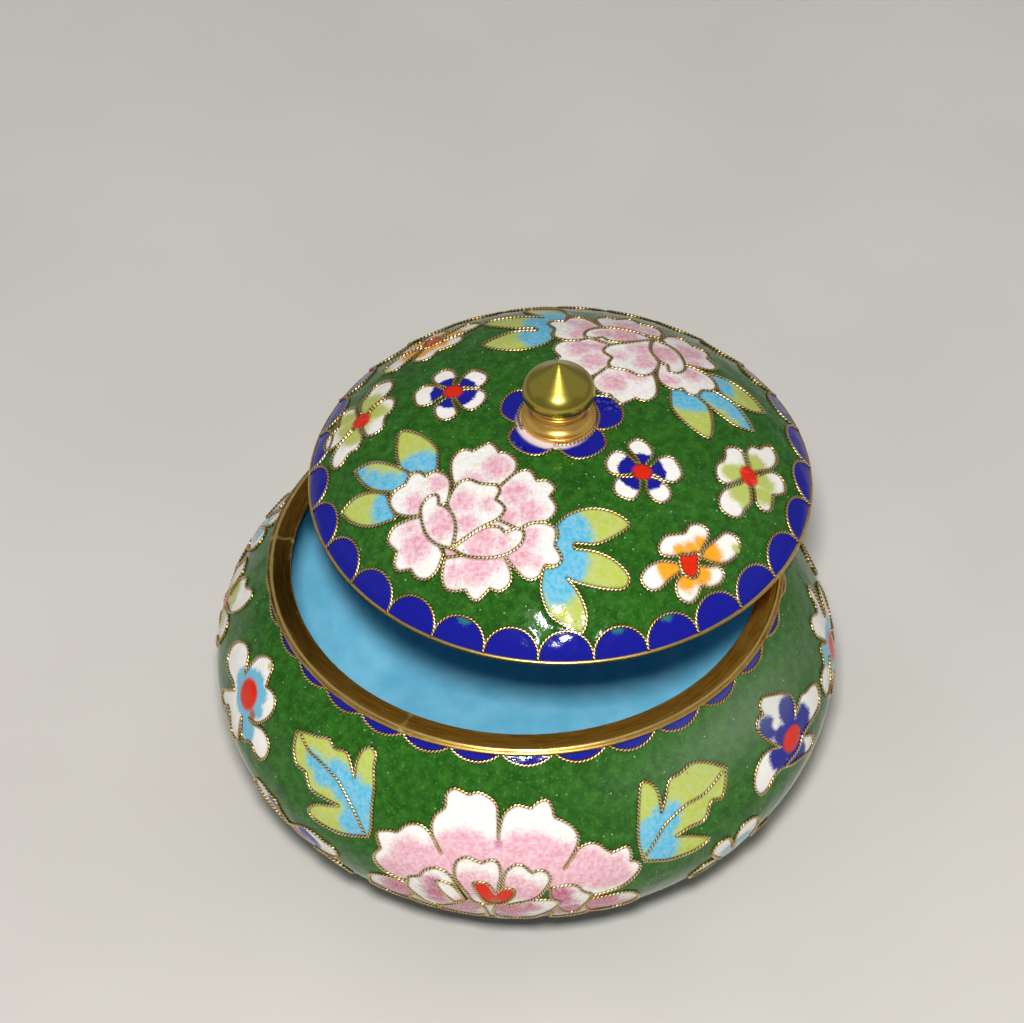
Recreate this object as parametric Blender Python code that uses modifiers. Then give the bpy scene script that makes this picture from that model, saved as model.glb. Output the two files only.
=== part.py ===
# A lidded cloisonne jar: a squat turned copper body and a shallow domed lid, both enamelled,
# with gilt brass rings at mouth, foot and lid edge, and a turned brass finial.
# The lid stands ajar: pushed back and a little to the right, its low lip resting on the mouth ring.
# Metres, +Z up. The origin is the centre of the box around the whole jar, on the table.

import bpy
import math

# The gap that touching pieces keep
GAP = 0.0003

# Body: the belly is the widest circle, and a full curve runs from it to the mouth and to the foot
BELLY_RADIUS = 0.0524
BELLY_ABOVE_BASE = 0.0276
SHOULDER_RISE = 0.0202
SHOULDER_RADIUS = 0.0422
SHOULDER_FULLNESS = 1.76
LOWER_FULLNESS = 1.85
BODY_WALL = 0.0018
BASE_HOLLOW = 0.0010

# Foot: a plain gilt ring under the body
FOOT_RADIUS = 0.0307
FOOT_HEIGHT = 0.0028
FOOT_WIDTH = 0.0018
FOOT_FLARE = 0.0004

# Mouth ring: a flat gilt annulus with a rounded outer edge, which overhangs the shoulder
MOUTH_OVERHANG = 0.0010
MOUTH_RING_WIDTH = 0.0041
MOUTH_RING_HEIGHT = 0.0013
MOUTH_RING_ROUND = 0.0011

# Lid: a shallow dome on a thin gilt edge ring, whose low lip drops inside the mouth when it is shut
LID_INSET = 0.0009
DOME_RISE = 0.0145
DOME_FLATNESS = 3.1
DOME_SHARPNESS = 0.93
LID_WALL = 0.0015
EDGE_OVERHANG = 0.0004
EDGE_THICKNESS = 0.0006
LIP_DEPTH = 0.0012
LIP_CLEARANCE = 0.0008
LIP_WIDTH = 0.0010

# Where the lid was left: its axis from the body's axis
LID_RIGHT = 0.0059
LID_BACK = 0.01705

# Finial: a flared base, a short neck and a flattened ball with a cone for its point
BALL_RADIUS = 0.0061
BALL_RISE = 0.00405
TIP_RISE = 0.00216
BALL_UNDERCUT = math.radians(38)
NECK_RADIUS = 0.0046
NECK_HEIGHT = 0.0008
COVE_HEIGHT = 0.0022
FINIAL_BASE_RADIUS = 0.00635
FINIAL_BASE_EDGE = 0.0005
FINIAL_OFFSET = 0.0004

# How finely the turned pieces are faceted
LARGE_STEPS = 52
SMALL_STEPS = 32
SHOULDER_POINTS = 7
LOWER_POINTS = 9
DOME_POINTS = 13
LID_HOLLOW_POINTS = 11
BALL_POINTS = 11
SMALL_ROUND_POINTS = 4

# Heights and radii that follow from the sizes above
base_height = FOOT_HEIGHT + GAP
belly_height = base_height + BELLY_ABOVE_BASE
shoulder_height = belly_height + SHOULDER_RISE
mouth_ring_radius = SHOULDER_RADIUS + MOUTH_OVERHANG
mouth_radius = mouth_ring_radius - MOUTH_RING_WIDTH
mouth_ring_foot = shoulder_height + GAP
mouth_height = mouth_ring_foot + MOUTH_RING_HEIGHT
dome_radius = mouth_ring_radius - LID_INSET
edge_radius = dome_radius + EDGE_OVERHANG
lip_radius = mouth_radius - LIP_CLEARANCE
lid_height = mouth_height + GAP + LIP_DEPTH
dome_foot = EDGE_THICKNESS + GAP
neck_foot = FINIAL_BASE_EDGE + COVE_HEIGHT
ball_height = neck_foot + NECK_HEIGHT + BALL_RISE * math.sin(BALL_UNDERCUT)
axis_shift = (LID_BACK + edge_radius - BELLY_RADIUS) / 2


def removeOldObjects():
    for obj in list(bpy.data.objects):
        bpy.data.objects.remove(obj, do_unlink=True)


def makeCollection(name):
    collection = bpy.data.collections.new(name)
    bpy.context.scene.collection.children.link(collection)
    return collection


def makeMaterial(name, color, roughness, metallic):
    material = bpy.data.materials.new(name)
    material.use_nodes = True
    shader = material.node_tree.nodes["Principled BSDF"]
    shader.inputs["Base Color"].default_value = (*color, 1.0)
    shader.inputs["Roughness"].default_value = roughness
    shader.inputs["Metallic"].default_value = metallic
    return material


def makeAxis(collection, name, place):
    axis = bpy.data.objects.new(name, None)
    axis.location = place
    collection.objects.link(axis)
    return axis


# A profile in the XZ plane turned about the axis; it runs down its outer side.
# A ring's profile is closed, a solid's or a shell's starts and ends on the axis.
def makeTurned(collection, name, profile, material, axis, steps, closed=False):
    mesh = bpy.data.meshes.new(name)
    vertices = [(radius, 0.0, height) for radius, height in profile]
    edges = [(i, i + 1) for i in range(len(profile) - 1)]
    if closed:
        edges.append((len(profile) - 1, 0))
    mesh.from_pydata(vertices, edges, [])
    mesh.materials.append(material)
    turned = bpy.data.objects.new(name, mesh)
    turned.parent = axis
    collection.objects.link(turned)
    screw = turned.modifiers.new("turn", "SCREW")
    screw.axis = "Z"
    screw.steps = steps
    screw.render_steps = steps
    screw.use_merge_vertices = True
    screw.merge_threshold = 0.00001
    screw.use_smooth_shade = True
    return turned


# Points of a bulging curve from the belly to an end circle, by a superellipse through both
def bulge(end_radius, rise, fullness, count):
    span = (1 - (end_radius / BELLY_RADIUS) ** fullness) ** (1 / fullness)
    reach = rise / span
    last = math.asin((rise / reach) ** (fullness / 2))
    points = []
    for i in range(count + 1):
        turn = last * i / count
        radius = BELLY_RADIUS * math.cos(turn) ** (2 / fullness)
        points.append((radius, reach * math.sin(turn) ** (2 / fullness)))
    return points


# A profile moved towards the axis by a wall, each point along its own normal
def offsetInward(points, wall):
    moved = []
    for i, (radius, height) in enumerate(points):
        before = points[max(i - 1, 0)]
        after = points[min(i + 1, len(points) - 1)]
        run = (after[0] - before[0], after[1] - before[1])
        length = math.hypot(*run)
        moved.append((radius + run[1] / length * wall, height - run[0] / length * wall))
    return moved


def arc(centre, radius, start, end, count):
    points = []
    for i in range(count + 1):
        turn = start + (end - start) * i / count
        points.append((centre[0] + radius * math.cos(turn), centre[1] + radius * math.sin(turn)))
    return points


# Two points of a profile carried on in a straight line to a given height
def carriedOn(nearer, farther, height):
    share = (height - nearer[1]) / (nearer[1] - farther[1])
    return (nearer[0] + (nearer[0] - farther[0]) * share, height)


# The outer side of the body, from the mouth down to the foot
def bodyOuterProfile():
    shoulder = bulge(SHOULDER_RADIUS, SHOULDER_RISE, SHOULDER_FULLNESS, SHOULDER_POINTS)
    lower = bulge(FOOT_RADIUS, BELLY_ABOVE_BASE, LOWER_FULLNESS, LOWER_POINTS)
    above = [(radius, belly_height + height) for radius, height in shoulder[::-1]]
    below = [(radius, belly_height - height) for radius, height in lower[1:]]
    return above + below


def makeBody(collection, axis):
    outer = bodyOuterProfile()
    inner = offsetInward(outer, BODY_WALL)
    floor = base_height + BASE_HOLLOW + BODY_WALL
    inner = [(r, z) for r, z in inner if floor < z < shoulder_height]
    rim = carriedOn(inner[0], inner[1], shoulder_height)
    inner_side = [(0.0, floor)] + inner[::-1] + [rim]
    underside = [(FOOT_RADIUS - FOOT_WIDTH, base_height), (0.0, base_height + BASE_HOLLOW)]
    green = makeMaterial("green_enamel", (0.027, 0.141, 0.014), 0.2, 0.0)
    return makeTurned(collection, "jar_body", inner_side + outer + underside, green, axis, LARGE_STEPS)


def makeMouthRing(collection, axis, brass):
    centre = (mouth_ring_radius - MOUTH_RING_ROUND, mouth_height - MOUTH_RING_ROUND)
    edge = arc(centre, MOUTH_RING_ROUND, math.pi / 2, 0.0, SMALL_ROUND_POINTS)
    profile = [(mouth_radius, mouth_height)] + edge
    profile += [(mouth_ring_radius, mouth_ring_foot), (mouth_radius, mouth_ring_foot)]
    return makeTurned(collection, "mouth_ring", profile, brass, axis, LARGE_STEPS, closed=True)


def makeFootRing(collection, axis, brass):
    inner = FOOT_RADIUS - FOOT_WIDTH
    profile = [(FOOT_RADIUS, FOOT_HEIGHT), (FOOT_RADIUS + FOOT_FLARE, 0.0), (inner, 0.0), (inner, FOOT_HEIGHT)]
    return makeTurned(collection, "foot_ring", profile, brass, axis, LARGE_STEPS, closed=True)


# The dome's height over its own foot at a share of its radius: steep at the edge, nearly flat above
def domeProfile(radius, rise, count):
    points = []
    for i in range(count + 1):
        turn = math.pi / 2 * i / count
        share = math.sin(turn) ** (2 / DOME_FLATNESS)
        height = rise * (1 - share ** DOME_FLATNESS) ** DOME_SHARPNESS
        points.append((radius * share, dome_foot + height))
    return points


def makeDome(collection, axis):
    outer = domeProfile(dome_radius, DOME_RISE, DOME_POINTS)
    outer[0] = (0.0, outer[0][1])
    inner = domeProfile(dome_radius - LID_WALL, DOME_RISE - LID_WALL, LID_HOLLOW_POINTS)
    inner[0] = (0.0, inner[0][1])
    green = makeMaterial("lid_green_enamel", (0.027, 0.141, 0.014), 0.2, 0.0)
    return makeTurned(collection, "lid_dome", outer + inner[::-1], green, axis, LARGE_STEPS)


def makeLidRing(collection, axis, brass):
    lip_inner = lip_radius - LIP_WIDTH
    profile = [
        (edge_radius, EDGE_THICKNESS),
        (edge_radius, 0.0),
        (lip_radius, 0.0),
        (lip_radius, -LIP_DEPTH),
        (lip_inner, -LIP_DEPTH),
        (lip_inner, EDGE_THICKNESS),
    ]
    return makeTurned(collection, "lid_ring", profile, brass, axis, LARGE_STEPS, closed=True)


# The finial's profile from its tip down: a cone tangent to the flattened ball, the neck, a cove
# and the flared base
def finialProfile():
    ball_top = math.asin(BALL_RISE / (BALL_RISE + TIP_RISE))
    ball = []
    for i in range(BALL_POINTS + 1):
        turn = ball_top - (ball_top + BALL_UNDERCUT) * i / BALL_POINTS
        ball.append((BALL_RADIUS * math.cos(turn), ball_height + BALL_RISE * math.sin(turn)))
    cove_depth = FINIAL_BASE_RADIUS - NECK_RADIUS
    cove = []
    for i in range(SMALL_ROUND_POINTS + 1):
        turn = math.pi / 2 * i / SMALL_ROUND_POINTS
        radius = FINIAL_BASE_RADIUS - cove_depth * math.cos(turn)
        cove.append((radius, FINIAL_BASE_EDGE + COVE_HEIGHT * (1 - math.sin(turn))))
    tip = [(0.0, ball_height + BALL_RISE + TIP_RISE)]
    return tip + ball + cove + [(FINIAL_BASE_RADIUS, 0.0), (0.0, 0.0)]


# It sits a little left of the lid's middle
def makeFinial(collection, axis, brass):
    finial = makeTurned(collection, "finial", finialProfile(), brass, axis, SMALL_STEPS)
    finial.location = (-FINIAL_OFFSET, 0.0, dome_foot + DOME_RISE + GAP)
    return finial


def makeJar():
    removeOldObjects()
    collection = makeCollection("cloisonne_jar")
    body_axis = makeAxis(collection, "body_axis", (0.0, -axis_shift, 0.0))
    lid_axis = makeAxis(collection, "lid_axis", (LID_RIGHT, LID_BACK - axis_shift, lid_height))
    brass = makeMaterial("gilt_brass", (0.45, 0.28, 0.07), 0.3, 1.0)
    makeBody(collection, body_axis)
    makeMouthRing(collection, body_axis, brass)
    makeFootRing(collection, body_axis, brass)
    makeDome(collection, lid_axis)
    makeLidRing(collection, lid_axis, brass)
    makeFinial(collection, lid_axis, brass)


makeJar()
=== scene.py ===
import math

import bpy
import numpy as np
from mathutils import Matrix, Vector


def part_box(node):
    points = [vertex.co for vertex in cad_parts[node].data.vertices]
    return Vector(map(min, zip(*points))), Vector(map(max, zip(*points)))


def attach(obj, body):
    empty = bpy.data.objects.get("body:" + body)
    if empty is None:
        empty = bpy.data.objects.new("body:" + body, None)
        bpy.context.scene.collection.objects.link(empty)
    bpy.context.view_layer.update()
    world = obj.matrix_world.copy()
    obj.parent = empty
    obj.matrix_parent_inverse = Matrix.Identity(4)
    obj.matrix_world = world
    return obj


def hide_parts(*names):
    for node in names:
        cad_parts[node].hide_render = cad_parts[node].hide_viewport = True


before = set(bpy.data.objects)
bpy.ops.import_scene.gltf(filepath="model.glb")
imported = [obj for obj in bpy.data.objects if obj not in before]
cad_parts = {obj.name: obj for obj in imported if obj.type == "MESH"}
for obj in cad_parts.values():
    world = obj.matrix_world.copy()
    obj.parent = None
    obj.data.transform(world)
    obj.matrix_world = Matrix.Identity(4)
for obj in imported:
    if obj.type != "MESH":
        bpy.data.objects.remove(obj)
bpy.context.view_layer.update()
print("frame loaded with", len(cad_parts), "nodes")

mm = 0.001
tiny = 1e-9          # keeps a length of nothing out of a division
weldReach = 0.002    # mm, finer than any detail


# Lowest and highest corner of a node of the frame, in millimetres
def nodeBox(node):
    low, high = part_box(node)
    return np.array(low) / mm, np.array(high) / mm


# sRGB to linear: ((c + 0.055) / 1.055) to the power 2.4, or c / 12.92 near black
def linear(hexCode):
    channels = [int(hexCode[i:i + 2], 16) / 255 for i in (1, 3, 5)]
    return [((c + 0.055) / 1.055) ** 2.4 if c > 0.04045 else c / 12.92 for c in channels]


# Gives a node's inputs, by name or number, their numbers, hex colours or other nodes' outputs
def setSockets(tree, node, sockets):
    for name, value in sockets.items():
        socket = node.inputs[name]
        if isinstance(value, bpy.types.NodeSocket):
            tree.links.new(value, socket)
        else:
            socket.default_value = linear(value) + [1.0] if isinstance(value, str) else value


# Adds a node with its settings and returns one of its outputs
def addNode(tree, kind, sockets, output=0, **settings):
    node = tree.nodes.new("ShaderNode" + kind)
    for name, value in settings.items():
        setattr(node, name, value)
    setSockets(tree, node, sockets)
    return node.outputs[output]


# Directions brought to length 1
def unit(vectors):
    return vectors / np.maximum(np.linalg.norm(vectors, axis=-1, keepdims=True), tiny)


# A mesh from points in millimetres and quads; values are attributes of the points
def makeMesh(name, points, quads, material, normals=None, values=None):
    mesh = bpy.data.meshes.new(name)
    mesh.vertices.add(len(points))
    mesh.vertices.foreach_set("co", (np.asarray(points) * mm).astype(np.float32).ravel())
    mesh.loops.add(quads.size)
    mesh.loops.foreach_set("vertex_index", quads.astype(np.int32).ravel())
    mesh.polygons.add(len(quads))
    mesh.polygons.foreach_set("loop_start", np.arange(0, quads.size, 4, dtype=np.int32))
    mesh.update(calc_edges=True)
    mesh.polygons.foreach_set("use_smooth", np.ones(len(quads), dtype=bool))
    for label, array in (values or {}).items():
        if array.ndim == 2:
            layer = mesh.attributes.new(label, "FLOAT_COLOR", "POINT")
            colors = np.column_stack([array, np.ones(len(array))])
            layer.data.foreach_set("color", colors.astype(np.float32).ravel())
        else:
            layer = mesh.attributes.new(label, "FLOAT", "POINT")
            layer.data.foreach_set("value", array.astype(np.float32))
    if normals is not None:
        mesh.normals_split_custom_set_from_vertices(normals.astype(np.float32))
    mesh.materials.append(material)
    piece = bpy.data.objects.new(name, mesh)
    bpy.context.scene.collection.objects.link(piece)
    return piece


# Merges the points that lie together at a pole
def closePole(piece):
    weld = piece.modifiers.new("weld", "WELD")
    weld.merge_threshold = weldReach * mm
    return piece


# Quads of a grid with its rows down and its columns round; wrap joins the last column to the first
def gridQuads(rows, columns, wrap):
    across = columns if wrap else columns - 1
    row, column = np.meshgrid(np.arange(rows - 1), np.arange(across), indexing="ij")
    beside = (column + 1) % columns
    here, below = row * columns, (row + 1) * columns
    corners = [here + column, below + column, below + beside, here + beside]
    return np.stack(corners, axis=-1).reshape(-1, 4)


# A turned surface: its profile by the run along it, with the outward normal at each place
def turnedSurface(radius, height, axis):
    run = np.concatenate([[0.0], np.cumsum(np.hypot(np.diff(radius), np.diff(height)))])
    slopeR = np.gradient(radius, run)
    slopeZ = np.gradient(height, run)
    length = np.hypot(slopeR, slopeZ)
    return {"run": run, "radius": radius, "height": height, "out": -slopeZ / length, "up": slopeR / length,
            "axis": axis}


# Point = axis + (radius cos, radius sin, height) + lift times the normal (out cos, out sin, up)
def surfacePoints(surface, angle, run, lift=0.0):
    at = {key: np.interp(run, surface["run"], surface[key]) for key in ("radius", "height", "out", "up")}
    reach = at["radius"] + lift * at["out"]
    x = surface["axis"][0] + reach * np.cos(angle)
    y = surface["axis"][1] + reach * np.sin(angle)
    return np.stack([x, y, at["height"] + lift * at["up"]], axis=-1)


# Normal = (out cos, out sin, up), brought to length 1
def surfaceNormals(surface, angle, run):
    out = np.interp(run, surface["run"], surface["out"])
    up = np.interp(run, surface["run"], surface["up"])
    return unit(np.stack([out * np.cos(angle), out * np.sin(angle), up], axis=-1))


# The body's outer side: r = R (1 - (d / reach) ^ fullness) ^ (1 / fullness), above and below the belly
body = {
    "bellyHeight": 30.7,
    "shoulderFullness": 1.76,
    "lowerFullness": 1.85,
    "mouthOverhang": 1.0,   # the mouth ring stands out past the shoulder
    "footFlare": 0.4,       # and the foot ring past the base
    "mouthRingWidth": 4.1,
    "footRingWidth": 1.8,
    "wall": 1.8,
    "baseHollow": 1.0,
    "points": 600,
}
bodyLow, bodyHigh = nodeBox("jar_body")
ringLow, ringHigh = nodeBox("mouth_ring")
footLow, footHigh = nodeBox("foot_ring")
bodyAxis = (bodyLow + bodyHigh)[:2] / 2
bellyRadius = (bodyHigh - bodyLow)[0] / 2
mouthRingRadius = (ringHigh - ringLow)[0] / 2
mouthRadius = mouthRingRadius - body["mouthRingWidth"]
shoulderRadius = mouthRingRadius - body["mouthOverhang"]
footRadius = (footHigh - footLow)[0] / 2 - body["footFlare"]


def bulgeRadius(distance, rise, endRadius, fullness):
    reach = rise / (1 - (endRadius / bellyRadius) ** fullness) ** (1 / fullness)
    return bellyRadius * (1 - (distance / reach) ** fullness) ** (1 / fullness)


def bodySurface():
    height = np.linspace(bodyHigh[2], bodyLow[2], body["points"])
    above = np.clip(height - body["bellyHeight"], 0, None)
    below = np.clip(body["bellyHeight"] - height, 0, None)
    upper = bulgeRadius(above, bodyHigh[2] - body["bellyHeight"], shoulderRadius, body["shoulderFullness"])
    lower = bulgeRadius(below, body["bellyHeight"] - bodyLow[2], footRadius, body["lowerFullness"])
    return turnedSurface(np.where(above > 0, upper, lower), height, bodyAxis)


# The lid's top: z = foot + rise (1 - (r / R) ^ flatness) ^ sharpness, from its crown to its edge
lid = {"flatness": 3.1, "sharpness": 0.93, "wall": 1.5, "points": 900}
domeLow, domeHigh = nodeBox("lid_dome")
lidRingLow, lidRingHigh = nodeBox("lid_ring")
lidAxis = (domeLow + domeHigh)[:2] / 2
domeRadius = (domeHigh - domeLow)[0] / 2


def domeSurface(inset):
    # inset moves the dome in by a wall, for its underside
    share = np.sin(np.linspace(0, math.pi / 2, lid["points"])) ** (2 / lid["flatness"])
    share[0] = 0.0
    rise = domeHigh[2] - domeLow[2] - inset
    height = domeLow[2] + rise * (1 - share ** lid["flatness"]).clip(0) ** lid["sharpness"]
    return turnedSurface((domeRadius - inset) * share, height, lidAxis)


bodyShape = bodySurface()
lidShape = domeSurface(0.0)


# An outline of the pattern, in millimetres. A third number of 1 makes a point a corner;
# between corners a Catmull-Rom curve runs through the points
def smoothLine(points, closed=True, steps=8):
    places = np.array([point[:2] for point in points], dtype=float)
    corners = [i for i, point in enumerate(points) if len(point) > 2]
    count = len(points)
    if closed and not corners:
        stretches = [[i % count for i in range(-1, count + 2)]]
    else:
        marks = sorted({*corners, *(() if closed else (0, count - 1))})
        ends = marks[1:] + ([marks[0] + count] if closed else [])
        stretches = []
        for start, end in zip(marks, ends):
            inner = [i % count for i in range(start, end + 1)]
            stretches.append([inner[0]] + inner + [inner[-1]])
    share = np.linspace(0, 1, steps, endpoint=False)[None, :, None]
    drawn = []
    for stretch in stretches:
        before, start, end, after = (places[stretch[i:len(stretch) - 3 + i]][:, None] for i in range(4))
        curve = 2 * start + (end - before) * share + (2 * before - 5 * start + 4 * end - after) * share ** 2
        curve = (curve + (3 * start - before - 3 * end + after) * share ** 3) / 2
        drawn.append(curve.reshape(-1, 2))
    last = places[stretches[0][1]] if closed else places[-1]
    return np.concatenate(drawn + [last[None]])


# Points along a line at even steps
def evenly(line, step):
    lengths = np.concatenate([[0.0], np.cumsum(np.linalg.norm(np.diff(line, axis=0), axis=1))])
    count = max(2, int(round(lengths[-1] / step)) + 1)
    at = np.linspace(0, lengths[-1], count)
    return np.stack([np.interp(at, lengths, line[:, i]) for i in range(line.shape[1])], axis=-1)


# A point is inside where a ray to its right crosses the outline an odd number of times
def isInside(points, outline):
    x, y = points[:, :1], points[:, 1:2]
    startX, startY = outline[:-1, 0], outline[:-1, 1]
    endX, endY = outline[1:, 0], outline[1:, 1]
    crosses = (startY > y) != (endY > y)
    rise = np.where(endY == startY, 1.0, endY - startY)
    return (crosses & (x < startX + (y - startY) * (endX - startX) / rise)).sum(axis=1) % 2 == 1


# Distance to the nearest point of a line, a few of its points at a time to save memory
def distanceTo(points, line, atOnce=60):
    best = np.full(len(points), np.inf)
    for part in np.array_split(line, max(1, len(line) // atOnce)):
        gap = np.hypot(points[:, :1] - part[:, 0], points[:, 1:2] - part[:, 1])
        best = np.minimum(best, gap.min(axis=1))
    return best


# Points round a middle, from one angle in degrees to another
def arc(x, y, radius, start, end, count):
    turns = np.radians(np.linspace(start, end, count))
    return [(x + radius * math.cos(turn), y + radius * math.sin(turn)) for turn in turns]


# One cell of enamel: its outline, its colour, and pools (x, y, radius) where a second colour lies, which
# runs out over soft mm to either side of a pool's edge. A raised one is a drop that stands up over the
# enamel round it
def cell(outline, enamel, second=None, pools=(), soft=0.3, closed=True, wire=True, raised=False):
    return {"outline": smoothLine(outline, closed), "enamel": enamel, "second": second or enamel,
            "pools": pools, "soft": soft, "closed": closed, "wire": wire, "raised": raised}


# A bare wire, such as a leaf's midrib
def bareWire(points):
    return cell(points, None, closed=False)


# A patch of another colour with no wire round it
def stain(x, y, radius, enamel):
    return cell(arc(x, y, radius, 0, 300, 6), enamel, wire=False)


enamels = {
    "white": "#f2eee7",
    "blush": "#e6b7c1",
    # rose is a deep pink; as the second enamel of the body peony's lower petals it is painted shade
    "roseAndShade": "#c88399",
    "cobalt": "#15198c",
    "turquoise": "#70b9d4",
    "lime": "#b9c466",
    "red": "#d62708",
    "rust": "#a5664a",
    "amber": "#f0a22c",
    "shell": "#e6d3d2",
    "sea": "#2e6f78",
    "green": "#2c681d",
}


# Plum blossoms. Their petals are white, with a second enamel pooled towards the red heart. In the first
# four, which are the body's, a wire runs round all the petals or most of them. In the last three, drawn
# for the lid, each petal is a cell that starts at the middle
wideBlossom = {
    "heart": arc(-0.3, 0, 2.75, 0, 315, 8),
    "pools": [(-0.3, 0, 4.4), (-4, 0, 2.0), (0, 2.4, 2.4), (3, -4.8, 2.2), (2.6, 2.4, 1.6), (3.6, 0, 1.4)],
    "soft": 0.5,
    "stains": [(2.9, -1.7, 0.9, "rust"), (0.4, 7.0, 0.6, "lime")],
    "petals": [
        [(-3.9, 1.4, 1), (-3.6, 4), (-3, 6), (-1.3, 7.6), (0.3, 8), (1.5, 7.2), (2, 5.8), (2.6, 4.3, 1),
         (4, 4.8), (5.6, 4.6), (6.8, 3.2), (6.8, 1.2), (5.8, -0.8), (4.6, -2), (2.4, -2.9, 1), (4, -2.7),
         (5.6, -2), (7, -1.6), (8.6, -1.9), (9.9, -3.2), (9.8, -5.2), (8.8, -6.6), (7, -6.8), (5.6, -6.1),
         (4.4, -6.3), (3, -7.4), (1.8, -7), (1.2, -5.6), (0.5, -4.2, 1), (0.7, -6), (1, -8.6), (0, -10),
         (-1.6, -10.2), (-2.8, -9), (-3.6, -7.4, 1), (-5, -7), (-6.6, -8.4), (-8.4, -8.4), (-8.6, -6.8),
         (-6.6, -4.8), (-4.6, -3, 1), (-6, -2.5), (-9, -2.9), (-11, -2.3), (-11.8, -0.4), (-10.8, 2),
         (-8.4, 3.9), (-6.2, 4.1), (-4.8, 3)],
    ],
}
crownBlossom = {
    "heart": [(2.7, 0), (1.8, 1.6), (0, 2.1), (-1.8, 1.6), (-2.7, 0), (-1.8, -1.5), (0, -2), (1.8, -1.5)],
    "pools": [(0, 0, 3.8), (-4.2, -0.2, 2.6), (1.8, 4.6, 2.7), (-4.2, 5.6, 2.2), (-2.2, 2.6, 1.8),
              (4.6, 0.6, 2.4), (0.6, -4, 2.6), (-3, -3.6, 1.6)],
    "soft": 0.5,
    "stains": [(-2.2, 4.9, 0.9, "white")],
    "petals": [
        [(-3.8, -2.9, 1), (-2, -4), (0, -4.7), (2, -5.4), (4.2, -6.4), (6, -6), (6.2, -4.6), (4.8, -3.2),
         (2.8, -1.8, 1), (0, -1, 1)],
        [(-3.2, 0.9, 1), (-4.8, 3), (-6, 5.4), (-6.2, 7.2), (-5.2, 8.3), (-3.6, 8.1, 1), (-3.4, 9.6),
         (-2, 10.4), (0, 9.4), (2.4, 7.8), (3.9, 6), (3.7, 4), (2.7, 2.6, 1), (4, 3.3), (6.2, 4), (8, 3.3),
         (10, 2.8), (11.8, 1.6), (11.8, -0.4), (10.2, -1.8), (7.6, -1.8), (5, -1.5), (3, -1.6, 1),
         (1.6, -2.5), (0, -2.9), (-2, -2.9), (-3.6, -3.1, 1), (-5, -2.6), (-6.8, -2.8), (-8.6, -3.8),
         (-10.6, -3.8), (-11.4, -1.8), (-10.8, 0.2), (-9, 1.9), (-7, 2.5), (-5, 2)],
    ],
}
spreadBlossom = {
    "heart": arc(-0.3, 0.8, 2.2, 0, 315, 8),
    "pools": [(0, 0.4, 3.8), (-4, 5.8, 2.3), (-3.2, 3, 2.2), (4, 4.4, 2.6), (3, 6.2, 1.6), (0, -4, 1.8),
              (-4, -2, 1.8), (4.4, -1.6, 1.8)],
    "soft": 0.5,
    "petals": [
        [(-1.2, 3.6, 1), (-2.2, 6), (-3, 8.2), (-5.4, 9), (-7.6, 9.4), (-9.6, 8), (-10.4, 5.6), (-8.6, 3.4),
         (-5.6, 1.6), (-3.6, -0.2, 1), (-6, -1), (-9, -2.2), (-10, -4.4), (-8.6, -6.4), (-6, -6),
         (-3.6, -4.4), (-2, -3.2, 1), (-2, -6), (-1, -9), (1.4, -9.8), (3, -8.2), (2.8, -5.6),
         (2.2, -3.2, 1), (5, -3.8), (8, -4.4), (10, -3), (9.6, -0.8), (7, 0.6), (3.8, 1, 1), (7, 2.2),
         (9.8, 3.8), (11, 6), (10.4, 7.4), (8, 7.8), (5.4, 8.4), (3, 7.4), (0.6, 5.2)],
    ],
}
closeBlossom = {
    "heart": arc(1.2, -0.8, 2.2, 0, 315, 8),
    "pools": [(1.2, -0.4, 3.6), (-1.4, 4, 1.8), (-2.2, 5.4, 1.4), (0.8, 5.6, 2.0), (1.4, 3, 2.4),
              (-3.6, 1.4, 1.6), (1.4, -4.4, 1.8), (5, -0.6, 1.6)],
    "soft": 0.5,
    "petals": [
        [(-2.6, 2.2, 1), (-4.8, 5), (-6.3, 7.6), (-6.1, 9.6), (-4.6, 10.4), (-3, 9.7), (-1.8, 7.2),
         (-0.7, 4.4, 1), (-1.4, 8), (-0.9, 10.2), (0.6, 11.1), (2.6, 10.8), (3.9, 9), (4.4, 6.4),
         (4.1, 3, 1), (6.8, 2.6), (9.6, 1.6), (10.4, -0.8), (8.8, -2.6), (6, -2.6), (4, -2.8, 1),
         (5.4, -5.8), (4.6, -8.8), (2, -9.8), (-0.8, -9), (-2, -6), (-1.4, -2.6, 1), (-4.4, -1.6),
         (-7.6, -0.6), (-8.8, 2), (-7.5, 4.4), (-5.2, 4.6), (-3.8, 3.4)],
    ],
}
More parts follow.
